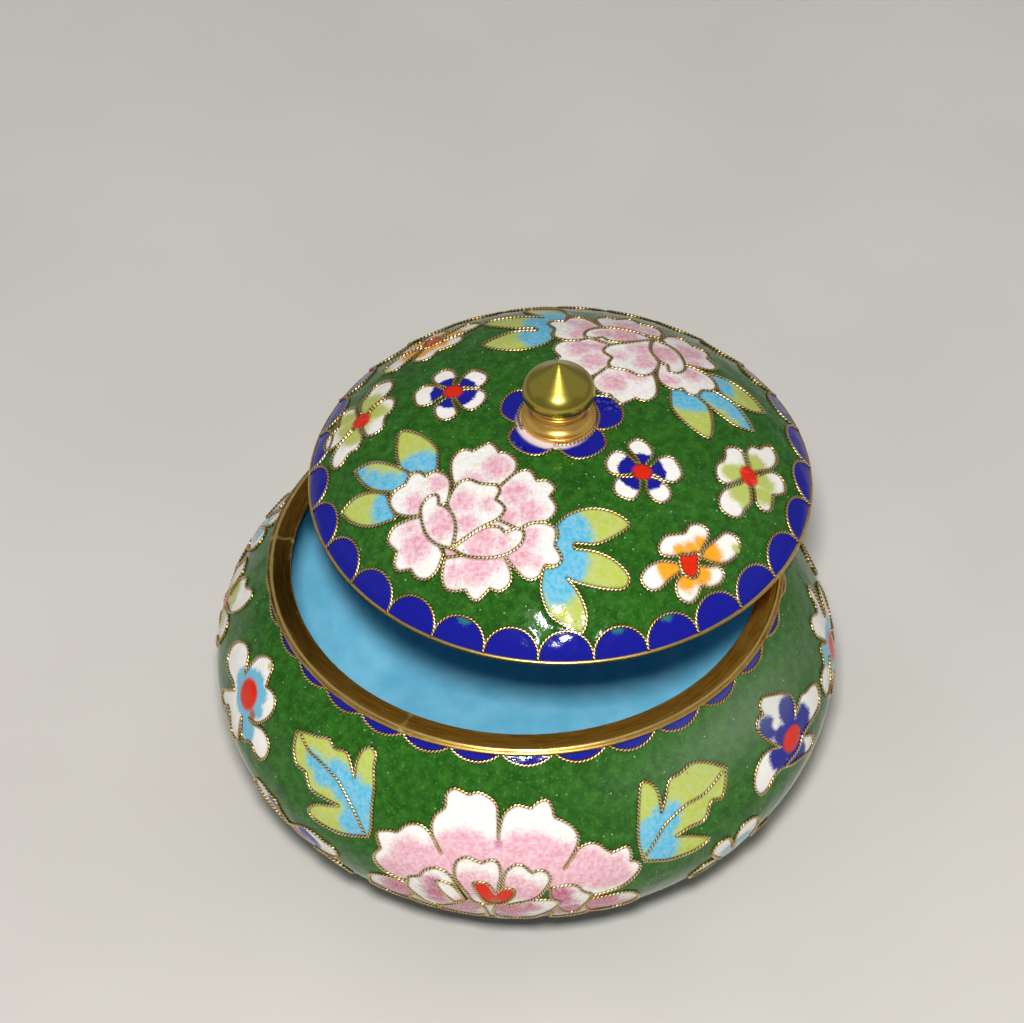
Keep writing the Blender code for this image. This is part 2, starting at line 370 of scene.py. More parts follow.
roundBlossom = {
    "heart": arc(0.1, -0.1, 1.65, 0, 315, 8),
    "pools": [(0, 0, 4.0)],
    "soft": 0.25,
    "petals": [
        [(0, 0, 1), (-0.6, 2.4), (-1.8, 4.2), (-2.3, 5.5), (-1.3, 6.8), (-0.1, 7), (1.2, 6.1), (1.9, 4.4),
         (1.6, 3), (0.9, 2)],
        [(0, 0, 1), (1.8, 1.6), (2.7, 3), (3.9, 3.8), (5.3, 3.6), (6.3, 2), (6.7, 0.2), (5.5, -1.4),
         (3.7, -1.4), (2.3, -0.6)],
        [(0, 0, 1), (1.6, -1.0), (2.9, -1.4), (4.5, -2.8), (4.7, -4.4), (3.5, -5.8), (1.9, -5.6), (0.8, -4),
         (0.7, -2)],
        [(0, 0, 1), (-0.3, -2), (-0.4, -4), (-1.3, -5.8), (-2.7, -5.9), (-4.4, -5), (-4.7, -3.2),
         (-3.9, -1.7), (-2.3, -1.4), (-1, -1.2)],
        [(0, 0, 1), (-1.4, -0.6), (-2.9, -1), (-4.9, -1), (-5.9, 0.4), (-5.7, 2.4), (-4.5, 4), (-2.9, 3.8),
         (-1.7, 2.6), (-0.7, 1.4)],
    ],
}
notchedBlossom = {
    "heart": [(1.6, 0), (1.1, 1.5), (0.1, 2), (-1, 1.5), (-1.5, 0), (-1, -1.5), (0.1, -2), (1.1, -1.5)],
    "pools": [(0, 0, 2.4), (-2.6, -0.6, 1.9), (1.2, 3.2, 2.1), (2.6, 0.2, 1.8), (2.5, -2.6, 1.8),
              (-1.2, -4, 2.3), (-0.4, -6, 1.2)],
    "soft": 0.7,
    "petals": [
        [(0, 0, 1), (-0.2, 2.2), (-0.4, 3.5), (-1.2, 5), (-2.6, 5.1), (-3.8, 4.2), (-3.9, 2.6),
         (-4.2, 1.4, 1), (-5.3, 0.2), (-5.6, -1.6), (-5, -3), (-3.8, -3.3), (-2.4, -2.4), (-1.4, -1.4)],
        [(0, 0, 1), (0.3, 2.2), (-0.2, 4), (-0.1, 5.6), (0.7, 7), (2, 7.2), (3, 8.6), (4.2, 9), (5, 7.4),
         (4.8, 5.4), (3.8, 3.6), (2.4, 2.4), (1.4, 1.6)],
        [(0, 0, 1), (1.6, 1), (3, 2.4), (4.2, 3.3), (5.4, 3.3), (6.2, 2.2), (6.2, 0.4), (5.2, -0.8),
         (4.1, -1.5, 1), (4, -3), (3.6, -4.8), (2.4, -5.6), (1.2, -4.8), (1, -3.4), (0.8, -2)],
        [(0, 0, 1), (0.2, -2.2), (0.4, -3.8), (0.2, -5.4), (-0.8, -7), (-1.6, -8.6), (-3, -9.2),
         (-4.8, -8.6), (-5.2, -6.8), (-4.4, -4.8), (-3, -3.4), (-1.4, -2.1)],
    ],
}
longBlossom = {
    "heart": [(-1.7, 1.0), (-0.2, 1.6), (1.4, 2.2), (1.4, 0.3), (1.2, -1.2), (0, -1.8), (-1.3, -1.2)],
    "wiredHeart": True,
    "pools": [(-1.5, 1.8, 1.2), (0.5, 2.6, 1.3), (2, 4, 1.2), (3.2, 3, 2.3), (1.6, -0.6, 2.0),
              (-0.6, -2.4, 1.6), (-3.2, -1.4, 2.2)],
    "soft": 0.6,
    "stains": [(7.8, 5.2, 0.7, "lime")],
    "petals": [
        [(0, 0, 1), (-1.6, 0.9), (-3.2, 0.5), (-4.8, 0.6), (-5.1, 2), (-4, 3.7), (-2, 4.5), (-0.8, 5),
         (0, 6.4), (1.4, 7.1), (2.9, 6.7), (3.2, 5.4), (2.4, 3.6), (1.8, 2.4)],
        [(0, 0, 1), (1.9, 2.2), (2.6, 3.4), (4.4, 5.4), (6, 7.1), (7.8, 7.1), (8.5, 5.8), (7.6, 3.8),
         (5.6, 2), (3.6, 1.5), (2, 1.5)],
        [(0, 0, 1), (1.8, 0.5), (3.2, 0.8), (4.6, 1.4), (5.7, 0.6), (5.1, -1), (3.4, -2.2), (2, -2.5),
         (1.3, -4), (0, -5.3), (-1.8, -5.1), (-2.4, -3.6), (-1.8, -2.2), (-1, -1.4)],
        [(0, 0, 1), (-1.6, -0.2), (-3.2, -0.2), (-5.2, -0.6), (-7.2, -2), (-8.1, -3.8), (-6.8, -5),
         (-5, -4.6), (-3.4, -3), (-1.8, -1.6)],
    ],
}


def blossom(design, second, size=1.0):
    def sized(points):
        return [(point[0] * size, point[1] * size, *point[2:]) for point in points]
    pools = [(x * size, y * size, radius * size) for x, y, radius in design["pools"]]
    cells = [cell(sized(petal), "white", second, pools, design["soft"]) for petal in design["petals"]]
    cells += [stain(x * size, y * size, radius, enamel) for x, y, radius, enamel in design.get("stains", [])]
    wired = design.get("wiredHeart", False)
    return cells + [cell(sized(design["heart"]), "red", wire=wired, raised=True)]


# A peony's petal is white with a pink bled into it
def petal(outline, second, pools, soft=1.2, wire=True):
    return cell(outline, "white", second, pools, soft, wire=wire)


# The lid's peony, drawn in plan from the lid's axis: six outer petals, then three curled ones over them
def lidPeony():
    top = [(-17.4, -15, 1), (-18.1, -12.5), (-18.2, -9.3), (-17.2, -7.4), (-15.9, -6.9), (-14.6, -7.4, 1),
           (-13.3, -6.5), (-12, -5.8), (-11, -6.6), (-10.3, -8.1, 1), (-9, -8.3), (-7.6, -9.8),
           (-7.3, -11.6), (-8.1, -13.3), (-10.1, -15.4, 1), (-13, -17, 1)]
    topRight = [(-10.1, -15.5, 1), (-7.9, -13.1), (-6.2, -12.2), (-4.9, -12.7), (-4, -14.6, 1),
                (-2.4, -14.6), (-1, -16.2), (-1.9, -17.9, 1), (-0.9, -19.6), (-1.1, -21.3), (-2.4, -22.6),
                (-4.4, -22.9), (-6.9, -23.9, 1), (-12, -21, 1)]
    topLeft = [(-18.7, -17.4, 1), (-18.3, -15), (-18.4, -13.1), (-19.4, -11.5), (-21.1, -10.7),
               (-22.4, -11.4, 1), (-23.5, -10.2), (-24.9, -10.3), (-25.9, -12.1, 1), (-27.7, -12.8),
               (-28.4, -14.6), (-27.3, -16.9), (-25.2, -18.2), (-22.9, -18.7, 1)]
    left = [(-22.9, -18.9, 1), (-25.4, -18.8), (-27.7, -19.3), (-28.6, -21.2), (-27.1, -23.4, 1),
            (-27.5, -25.2), (-26.7, -26.5), (-24.8, -26.9, 1), (-23.7, -28.5), (-21.9, -29.2),
            (-20.3, -28.3), (-19.3, -26.1, 1)]
    bottom = [(-19.1, -26.8, 1), (-19.6, -29.3), (-19.1, -31.1), (-17.7, -32), (-15.7, -32.2, 1),
              (-14.9, -33.5), (-13.7, -34), (-12.6, -33.4), (-11.7, -32.7, 1), (-10, -33.3), (-8.4, -32.3),
              (-8.3, -30.5), (-9.6, -27.5, 1)]
    right = [(-7.4, -24.2, 1), (-5, -22.9), (-2.5, -23), (-0.9, -24.2), (-1.1, -26.9, 1), (0, -28.9),
             (-0.9, -30.1), (-2.7, -30, 1), (-3.5, -31.5), (-4.8, -32.1), (-6.4, -31.6), (-8.6, -29.1),
             (-9.6, -27.5, 1)]
    middle = [(-17.3, -14.3), (-15.3, -13.5), (-13.2, -14.6), (-10.6, -15.1, 1), (-10.1, -16.4),
              (-10.8, -18, 1), (-9.3, -19.8), (-10.4, -21.7), (-13.8, -23.2), (-17.6, -25.3, 1),
              (-17.3, -22), (-18.3, -18.9, 1), (-18.7, -17.3)]
    curledLeft = [(-23.1, -19), (-23, -17), (-21.8, -15.6), (-20.4, -15.7), (-20.2, -17.4, 1),
                  (-18.8, -18.4), (-17.6, -20.5), (-17.4, -22.8), (-18, -25.6, 1), (-20.6, -24.2),
                  (-22.3, -22)]
    curledBottom = [(-18, -25.6, 1), (-15.2, -24.1), (-12.6, -23), (-10.3, -23.2), (-9.2, -24.3, 1),
                    (-7.6, -23.7), (-6.2, -24.4), (-6.6, -26.3), (-8.8, -27.8), (-11.9, -28.1),
                    (-15.4, -27.3)]
    under = [(-17, -16, 1), (-9.8, -15.6, 1), (-6.9, -23.9, 1), (-9.6, -27.3, 1), (-18.9, -26.5, 1),
             (-20.5, -19, 1)]
    petals = [petal(outline, "blush", pools) for outline, pools in [
        (top, [(-10.8, -11.3, 2.4), (-14.5, -14, 1.9)]),
        (topRight, [(-7.6, -17, 2.2), (-5.2, -20.6, 2.2), (-8.5, -21.5, 1.7)]),
        (topLeft, [(-24.3, -16.2, 1.7), (-20.2, -13.2, 1.6)]),
        (left, [(-23.8, -23.6, 2.5), (-25, -20.3, 1.2)]),
        (bottom, [(-13.6, -29.2, 2.7), (-17.4, -29.4, 1.6), (-10.7, -28.9, 1.3)]),
        (right, [(-5.4, -25.4, 1.8), (-6.9, -28, 2.3), (-4.4, -29.5, 1.1)]),
        (middle, [(-16.4, -17.8, 2.1), (-12.2, -18.6, 1.2), (-15.6, -21.5, 1.8)]),
        (curledLeft, [(-19.6, -21, 2.6)]),
        (curledBottom, [(-13.2, -25.4, 2.7), (-9.6, -26.2, 1.6)]),
    ]]
    return [petal(under, "blush", [(-9, -20, 2.2), (-18, -26, 2.2)], wire=False)] + petals


# Leaves are lime with turquoise pooled in them
def leaf(outline, pools):
    return cell(outline, "lime", "turquoise", pools, soft=0.85)


def lidLeaves():
    upper = [(-26.1, -10.4, 1), (-27.2, -6.3), (-27.4, -3), (-26.9, -0.3), (-25.2, -0.6), (-22.6, -2.8),
             (-20.7, -5.6), (-20.4, -8.3), (-20.6, -11.2, 1)]
    middle = [(-25.4, -9.6, 1), (-28.3, -6.9), (-31.5, -5), (-34.4, -5.2, 1), (-33.2, -8.2), (-31.1, -11),
              (-28.2, -12.6, 1), (-24, -13.4, 1)]
    lower = [(-29, -12.6, 1), (-31.6, -11.1), (-34.5, -10.8), (-36.6, -12.2, 1), (-34.6, -15.2),
             (-31.3, -17.5), (-27.2, -17.9, 1)]
    fork = [(-0.9, -23.4, 1), (1, -21.5), (4.2, -20.2), (7.4, -20.3), (10.3, -21.6), (11, -23), (8.6, -25),
            (5.6, -26.5), (2.2, -26.5), (2.2, -27.4, 1), (5.6, -27.7), (8.7, -28.9), (11, -31),
            (10.2, -32.8), (6.8, -33.2), (2.6, -32.6), (0.8, -31.9, 1), (2.9, -34.2), (4.1, -36.9),
            (3.3, -39.1), (0.9, -38.5), (-2, -36.9), (-3.4, -33.6), (-3, -30.4, 1), (-1, -30.2), (0, -28.9),
            (-1.1, -26.9), (-0.6, -25.2)]
    return [
        leaf(upper, [(-23.4, -10.2, 4.4)]),
        leaf(middle, [(-33.8, -6.4, 1.7), (-31.6, -8.6, 1.9), (-29, -10.6, 2.3), (-26.4, -11.6, 2.4)]),
        leaf(lower, [(-27.9, -14.9, 3.6)]),
        leaf(fork, [(0.6, -25.2, 4.6), (0.4, -29.6, 4.0), (-0.6, -33, 2.8)]),
    ]


# The body's peony, in mm right and up from its own middle. The petals behind are one cell, with wires
# that run in between its lobes; below it more petals turn under the belly, and two curled ones with
# a red heart lie over all. The petals under the fan take rose as their second enamel, which there is a
# painted shade where they turn away from the light
def bodyPeony():
    lowLeft = [(-14.6, -8.6, 1), (-16, -7.7), (-19, -7.6), (-22, -9.4), (-22.6, -12.4), (-22.4, -15.6),
               (-20.6, -18), (-18, -18.6), (-15.6, -17, 1), (-13, -13, 1)]
    lowRight = [(14.6, -9, 1), (18, -9), (21.5, -9.2), (23.2, -11.5), (23.2, -14.6), (21.4, -17.4),
                (18.4, -18.2), (15.6, -16.6, 1), (12, -13, 1)]
    fan = [(-15, -6.9, 1), (-16.6, -6.9), (-19, -6.3), (-20.8, -4.6), (-21.1, -2.8), (-19.9, -0.8, 1),
           (-20.6, 1), (-20.4, 2.2), (-18.5, 3.1), (-17, 3.4), (-15.3, 5.2), (-13.2, 5.9), (-11.6, 5.2),
           (-10.4, 3.6), (-9.3, 1.6, 1), (-10.7, 4.2), (-11.1, 6.2), (-10.6, 8), (-9.6, 9.1), (-8.9, 10),
           (-8.8, 12), (-7.6, 13.2), (-6.2, 13), (-5.1, 12.6, 1), (-3.6, 13.2), (-1.8, 12.6), (-0.5, 11.4),
           (-0.2, 9.5), (0, 5.6, 1), (0.3, 8.4), (1, 10.3), (2.6, 11.5), (4.1, 11.3), (5, 11, 1), (6.2, 12),
           (7.6, 12.3), (8.5, 11), (9, 9.4), (10.4, 8.6), (12, 7.4), (13, 5.6), (12.8, 3.8), (12, 2),
           (10.8, -0.2, 1), (12.2, 2.2), (13.2, 3.6), (15, 4.2), (16.6, 3.6), (17.8, 2.4), (18.8, 1.7, 1),
           (20, 2), (21.3, 2.2), (22, 0.8), (22, -0.8, 1), (23.2, -1.4), (23.7, -2.8), (22.6, -4.8),
           (20.6, -6.6), (17.8, -7.6), (15.8, -8, 1), (9, -5, 1), (0, -4, 1), (-8, -4, 1)]
    bottomLeft = [(-14.4, -12, 1), (-15.2, -15), (-13.8, -18), (-11.2, -19.2), (-9, -17.4, 1), (-8, -12, 1)]
    bottomRight = [(8, -11, 1), (8.6, -14.6), (8.2, -17.6, 1), (10.6, -19.2), (13.2, -18.4), (14.6, -15.6),
                   (14, -11, 1)]
    middleLeft = [(-7.6, -9.6, 1), (-8.6, -13), (-10.2, -16.6), (-9, -19.6), (-6, -20.8), (-3.4, -19.4),
                  (-2.1, -15.6), (-2.4, -12), (-3.4, -8.6, 1)]
    wedge = [(-2.9, -8, 1), (-2.3, -12), (-2, -16), (-2.2, -19.6, 1), (0.6, -20.6), (1.6, -18, 1),
             (-0.4, -9, 1)]
    innerLeft = [(-15.2, -7), (-14.8, -5.4), (-13.2, -4.5), (-12.2, -2.8), (-10.4, -1.6), (-8.6, -1.9),
                 (-7.4, -3.2), (-6.9, -4.6), (-5.6, -8.6, 1), (-6.4, -11), (-8.6, -13.6), (-10.4, -14.8),
                 (-12.4, -14), (-14, -11.6), (-15.3, -9)]
    foldLeft = [(-10.2, -4.8), (-8.6, -4.4), (-7, -5.4), (-5.9, -8), (-5.7, -9.4), (-7.2, -11, 1),
                (-8, -9.6), (-9.4, -7.4)]
    innerRight = [(8.5, -5), (9.8, -4), (11.5, -3.8), (13, -4.3), (14, -6), (15.4, -7.4), (15, -9.4),
                  (14, -11.6), (12.8, -14.6), (10.8, -14.4), (9.4, -10, 1)]
    foldRight = [(-0.4, -9.8, 1), (3, -9), (6, -7.8), (8, -7.6), (9.6, -8.2), (10, -9.6), (9, -12),
                 (7.2, -15), (5.2, -18.6), (2.6, -20), (0, -18.6), (-0.9, -14.6)]
    curledLeft = [(-7, -0.5), (-6.3, 1), (-5, 1.7), (-3.6, 1.3), (-2.6, 0.9, 1), (-1.6, 1.5), (-0.4, 1.6),
                  (0.4, 0.4), (0.5, -2), (0.2, -4), (0.1, -6.6), (-1, -9.6), (-3, -10), (-4.4, -8.8),
                  (-5, -7), (-6, -5), (-6.9, -3)]
    curledRight = [(0.8, -4.5), (1, -2), (1.6, -0.2), (2.8, 0.9), (4.1, 0.9), (5.2, -0.2), (5.7, -0.6, 1),
                   (6.8, -0.1), (8, -0.6), (8.6, -2.2), (8, -4), (7, -6), (5.6, -7.6), (3.5, -8.6),
                   (0.8, -9.5)]
    heart = [(-3.9, -3.5), (-2.2, -3.2), (-1.2, -4), (-0.4, -6, 1), (0.8, -4.5), (2.4, -4.3), (2.8, -5.6),
             (2, -7.6), (0.6, -9.3), (-0.8, -9.8, 1), (-2.2, -8.6), (-3, -7), (-3.6, -5.2)]
    fanPools = [(-5.5, 0.8, 6.0), (-9, -1, 4.8), (-14, -1.4, 4.4), (-17.5, -4.5, 2.7), (5, 0.8, 6.4),
                (9, 0, 5.2), (14, -0.6, 4.2), (18, -2.5, 3.8), (20.5, -4.5, 1.8), (0, 2.4, 3.4)]
    return [
        petal(lowLeft, "roseAndShade", [(-16.6, -10.8, 3.6), (-17, -15, 3.8)]),
        petal(lowRight, "roseAndShade", [(16.4, -11.8, 3.8), (18, -15.6, 3.8)]),
        petal(fan, "blush", fanPools, 1.1),
        stain(0, 4.6, 0.7, "roseAndShade"),
        petal(bottomLeft, "roseAndShade", [(-11, -14, 3)]),
        petal(bottomRight, "roseAndShade", [(11, -14, 3)]),
        petal(middleLeft, "roseAndShade", [(-5.2, -11.6, 2.8), (-6.4, -16, 3.2)]),
        petal(wedge, "roseAndShade", [(-1.4, -17, 1.4)], 1.0),
        petal(innerLeft, "roseAndShade", [(-10.8, -5.6, 1.8), (-10.4, -8.6, 2.3), (-10, -11.6, 1.8)]),
        petal(foldLeft, "blush", [(-6.4, -9.6, 0.8)], 0.8),
        petal(innerRight, "roseAndShade", [(10, -6, 2.4), (10.4, -8.6, 2.4), (11.6, -13, 2.6)]),
        petal(foldRight, "roseAndShade", [(2, -12.4, 3.2), (5, -10.8, 1.9), (1.6, -16, 2.8)]),
        petal(curledLeft, "blush", [(-4.4, -4.6, 3.2), (-2.6, -3.6, 2.6)]),
        petal(curledRight, "blush", [(2.6, -3.6, 2.4), (5, -5.6, 2.8)]),
        cell(heart, "red", "rust", [(-0.6, -8.8, 1.0)], 0.6),
    ]


def bodyLeafLeft():
    outline = [(3.3, 8.4, 1), (4.8, 7.6), (5.3, 5.4), (6.5, 2.4), (7.1, -0.9), (7.9, -4.6), (7.7, -6.6, 1),
               (4.6, -7.9), (1.4, -8.9), (-3.2, -9), (-4.5, -7.8), (-3.2, -5.9), (-0.6, -4.6),
               (1.3, -3.6, 1), (-1.6, -3.8), (-4.8, -3.8), (-6.6, -1.8), (-8.8, -1.6), (-10.4, 0.4),
               (-10.9, 3.4, 1), (-9.1, 4.2), (-6.9, 4.9), (-4.4, 5.9), (-2.7, 5.1), (-0.4, 5.6), (1.2, 4.2),
               (2.6, 2.3, 1), (2, 4.9), (2.2, 7.2)]
    midrib = [(-9.9, 3.3), (-7.2, 2), (-3.6, 1.5), (0, 0.4), (2.8, -1.7), (5.1, -4), (7, -6.5)]
    pools = [(4.6, -1.0, 3.4), (2, 0.2, 3.0), (-0.6, 1, 2.8), (5, -5.4, 3.2), (-3.2, 0.2, 2.4),
             (-5.6, 1, 1.8)]
    return [leaf(outline, pools), bareWire(midrib)]


def bodyLeafRight():
    outline = [(-8.6, -7.2, 1), (-9.1, -3.4), (-8.5, 0.4), (-7.2, 4.6), (-6.2, 6.7), (-4.8, 6.3),
               (-3.9, 4.2), (-4.2, 0.7, 1), (-3, 2.8), (-1.5, 5.5), (0.6, 5.9), (3.4, 6.5), (6.2, 5.2),
               (9.2, 2.8, 1), (8.3, 0.2), (7, -1.7), (4.9, -1.3), (3.1, -3.8), (0.2, -3.9), (-2.5, -4.5, 1),
               (0.6, -5.8), (3.6, -8), (1.2, -9.1), (-3.6, -8.9), (-6.4, -8)]
    midrib = [(-8.5, -6.6), (-6.4, -4.1), (-3.8, -1.4), (0.2, 0.3), (4, 0.7), (8.2, 2.5)]
    pools = [(-6.4, -2.6, 3.2), (-4, -1, 2.8), (-2.4, 0.2, 1.8), (-5, -6, 3.0)]
    return [leaf(outline, pools), bareWire(midrib)]


# A scallop: a cobalt lobe standing on an edge, with a wire along its arch alone, which is
# v = height (1 - share ^ 2) ^ power for a share of half the width: a half ellipse at 0.5, a parabola at 1
def scallop(width, height, power, second="cobalt", points=11):
    arch = []
    for turn in np.linspace(90, -90, points):
        share = math.sin(math.radians(turn))
        arch.append((-width / 2 * share, height * (1 - share ** 2) ** power))
    outline = [(*arch[0], 1)] + arch[1:-1] + [(*arch[-1], 1)]
    stained = [(0, height, 1.2)]    # where the second enamel bled in, at the top
    return [cell(outline, "cobalt", second, stained, soft=0.5, wire=False), bareWire(arch)]


# Where a motif lies. On the body: right of a meridian (degrees, -90 is the front) and up from a drop
# below the mouth. On the lid: in plan from the lid's axis
def onBody(azimuth, drop, turn=0.0):
    return {"surface": bodyShape, "azimuth": math.radians(azimuth), "drop": drop, "turn": math.radians(turn)}


def onLid(x=0.0, y=0.0, turn=0.0):
    return {"surface": lidShape, "middle": (x, y), "turn": math.radians(turn)}


# Motif millimetres to the surface's angle and run: turned, then u / radius round the body or in plan
def toSurface(spot, points):
    surface, turn = spot["surface"], spot["turn"]
    u = points[..., 0] * math.cos(turn) - points[..., 1] * math.sin(turn)
    v = points[..., 0] * math.sin(turn) + points[..., 1] * math.cos(turn)
    if "drop" in spot:
        run = spot["drop"] - v
        return spot["azimuth"] + u / np.interp(run, surface["run"], surface["radius"]), run
    x, y = u + spot["middle"][0], v + spot["middle"][1]
    return np.arctan2(y, x), np.interp(np.hypot(x, y), surface["radius"], surface["run"])


# The way back, from the surface's angle and run to the motif's millimetres
def fromSurface(spot, angle, run):
    surface, turn = spot["surface"], spot["turn"]
    radius = np.interp(run, surface["run"], surface["radius"])
    if "drop" in spot:
        u = ((angle - spot["azimuth"] + math.pi) % math.tau - math.pi) * radius
        v = spot["drop"] - run
    else:
        u = radius * np.cos(angle) - spot["middle"][0]
        v = radius * np.sin(angle) - spot["middle"][1]
    x = u * math.cos(turn) + v * math.sin(turn)
    y = v * math.cos(turn) - u * math.sin(turn)
    return np.stack([x, y], axis=-1)


# How the cells are laid on a surface, in mm
painting = {
    "lineStep": 0.2,        # between the points along an outline
    "shortest": 4,          # steps: a shorter stretch of wire is left out
    "reach": 1.6,           # how far past an outline or a wire the surface is worked out
    "meeting": 0.5,         # over which one enamel runs into another where no wire parts them
    "rimGap": 0.35,         # a raised cell's rim gets the dark seam, partly painted shade, of enamel this far from a wire
    "far": 9.0,             # stands for no wire or no pool near
    "groundInside": -3.0,   # and for no cell near
    "groundSoft": 0.3,
}


# The parts of each outline that no later cell of the motif covers
def visibleLines(cells):
    lines = []
    for i, item in enumerate(cells):
        if not item["wire"]:
            continue
        line = evenly(item["outline"], painting["lineStep"])
        shown = np.ones(len(line), dtype=bool)
        for cover in cells[i + 1:]:
            if cover["enamel"]:
                shown &= ~isInside(line, cover["outline"])
        if shown.all():
            lines.append(line)
            continue
        if item["closed"]:
            start = int(np.argmin(shown))
            line = np.roll(line[:-1], -start, axis=0)
            shown = np.roll(shown[:-1], -start)
        edges = np.flatnonzero(np.diff(np.concatenate([[False], shown, [False]]).astype(int)))
        for start, stop in edges.reshape(-1, 2):
            if stop - start > painting["shortest"]:
                lines.append(line[start:stop])
    return lines


# The pattern: each motif is a spot and its cells, the later ones over the earlier
lidPattern = {
    "scallops": 29,
    "scallopHeight": 4.9,
    "scallopPower": 0.5,
    "firstScallop": -89.0,                       # degrees
    "stainedScallops": (27, 1, 2),               # those whose tops bled greenish
    "lobeDirections": (10, -60, -133, 157, 85),  # degrees
    "disc": (-0.9, -1.0, 6.6),                   # the pale disc round the finial: its middle and radius
    "discWire": (-0.4, 0.0, 6.75),
    "discWireEnds": (-95, 205),                  # degrees
    "peonies": ((0, 0, 0), (-2.0, -2.5, 180)),   # where each is moved to, and how far turned in degrees
    "blossoms": [                                # x, y, turn in degrees, design and second enamel
        (13.3, -12, 0, roundBlossom, "cobalt"),
        (-18, 7.4, 163, roundBlossom, "cobalt"),
        (31.2, -8, 0, notchedBlossom, "lime"),
        (-33.5, 6.6, 180, notchedBlossom, "lime"),
        (21, -27.4, 0, longBlossom, "amber"),
        (-21.7, 25.8, 180, longBlossom, "amber"),
    ],
}


# Five cobalt lobes round the finial, with a pale disc over them and a wire circle broken at one side
def collar():
    cells = []
    lobe = [(4.2, 3.6, 1), (7.0, 4.1), (9.6, 2.9), (10.5, 0), (9.6, -2.9), (7.0, -4.1), (4.2, -3.6, 1)]
    for direction in lidPattern["lobeDirections"]:
        turn = math.radians(direction)
        along = np.array([math.cos(turn), math.sin(turn)])
        across = np.array([-along[1], along[0]])
        cells.append(cell([(*(along * a + across * b), *rest) for a, b, *rest in lobe], "cobalt"))
    disc = arc(*lidPattern["disc"], 0, 330, 12)
    ring = arc(*lidPattern["discWire"], *lidPattern["discWireEnds"], 16)
    return cells + [cell(disc, "shell", wire=False), bareWire(ring)]


# The scallops along the lid's edge, its two peonies with their leaves, its blossoms and the collar
def lidMotifs():
    peonyAndLeaves = lidLeaves() + lidPeony()
    count, edge = lidPattern["scallops"], lidShape["run"][-1]
    width = math.tau * domeRadius / count
    motifs = []
    for i in range(count):
        azimuth = math.radians(lidPattern["firstScallop"] + i * 360 / count)
        spot = {"surface": lidShape, "azimuth": azimuth, "drop": edge, "turn": 0.0}
        second = "sea" if i in lidPattern["stainedScallops"] else "cobalt"
        height, power = lidPattern["scallopHeight"], lidPattern["scallopPower"]
        motifs.append((spot, scallop(width, height, power, second)))
    motifs += [(onLid(*place), peonyAndLeaves) for place in lidPattern["peonies"]]
    for x, y, turn, design, second in lidPattern["blossoms"]:
        motifs.append((onLid(x, y, turn), blossom(design, second)))
    motifs.append((onLid(), collar()))
    return motifs


bodyPattern = {
    "scallops": 31,
    "scallopWidth": 8.2,
    "scallopPower": 0.8,
    "firstScallop": -89.6,          # degrees
    "scallopDrift": 5.0,            # degrees that the row runs ahead at the sides, and twice that at the back
    "scallopReach": (1.35, 0.4),    # down from the rim: its mean, and how much more at one side
    "deepestScallop": -70.0,        # degrees
    "footScallops": 24,
    "footScallopReach": 5.2,
    "footScallopPower": 0.5,
    "peonies": (-95, 85),           # degrees
    "peonyDrop": 19.7,              # down from the mouth
    "leafLeft": (-33, 12.7),        # degrees from its peony, and down from the mouth
    "leafRight": (36, 14.2),
    "blossoms": [                   # degrees round, mm down, turn in degrees, design, second enamel, size
        (-157, 12.9, 0, wideBlossom, "turquoise", 1.0),
        (-30.6, 16.6, 0, crownBlossom, "cobalt", 1.0),
        (-3.2, 19.3, -158, wideBlossom, "turquoise", 1.0),
        (172.9, 17.2, -10, notchedBlossom, "lime", 1.45),
        (157, 11.5, -50, closeBlossom, "turquoise", 0.85),
        (26.5, 12.7, 150, longBlossom, "amber", 1.2),
        (-138.8, 33.8, 0, spreadBlossom, "cobalt", 1.0),
        (-46.7, 35.2, 0, closeBlossom, "turquoise", 1.0),
        (41.2, 34.7, 0, spreadBlossom, "cobalt", 1.0),
        (133.3, 34.7, 0, closeBlossom, "turquoise", 1.0),
        (-5, 38, 100, notchedBlossom, "lime", 1.2),
        (-178, 36, 200, longBlossom, "amber", 1.2),
    ],
}


# The scallops under the mouth ring and over the foot, the peonies between their leaves, and the blossoms
def bodyMotifs():
    motifs = []
    mean, more = bodyPattern["scallopReach"]
    for i in range(bodyPattern["scallops"]):
        ahead = i * 360 / bodyPattern["scallops"]
        drift = bodyPattern["scallopDrift"] * (1 - math.cos(math.radians(ahead)))
        azimuth = bodyPattern["firstScallop"] + ahead + drift
        reach = mean + more * math.cos(math.radians(azimuth - bodyPattern["deepestScallop"]))
        lobe = scallop(bodyPattern["scallopWidth"], reach, bodyPattern["scallopPower"])
        motifs.append((onBody(azimuth, 0.0, 180), lobe))
    count = bodyPattern["footScallops"]
    width = math.tau * footRadius / count
    for i in range(count):
        azimuth = bodyPattern["firstScallop"] + i * 360 / count
        lobe = scallop(width, bodyPattern["footScallopReach"], bodyPattern["footScallopPower"])
        motifs.append((onBody(azimuth, bodyShape["run"][-1]), lobe))
    peony = bodyPeony()
    leaves = ((*bodyPattern["leafLeft"], bodyLeafLeft()), (*bodyPattern["leafRight"], bodyLeafRight()))
    for azimuth in bodyPattern["peonies"]:
        for beside, drop, made in leaves:
            motifs.append((onBody(azimuth + beside, drop), made))
        motifs.append((onBody(azimuth, bodyPattern["peonyDrop"]), peony))
    for azimuth, drop, turn, design, second, size in bodyPattern["blossoms"]:
        motifs.append((onBody(azimuth, drop, turn), blossom(design, second, size)))
    return motifs


# The points in the box round an outline or a wire, with the reach added to each side
def nearTo(points, line):
    reach = painting["reach"]
    box = (points > line.min(axis=0) - reach) & (points < line.max(axis=0) + reach)
    return np.flatnonzero(box.all(axis=1))


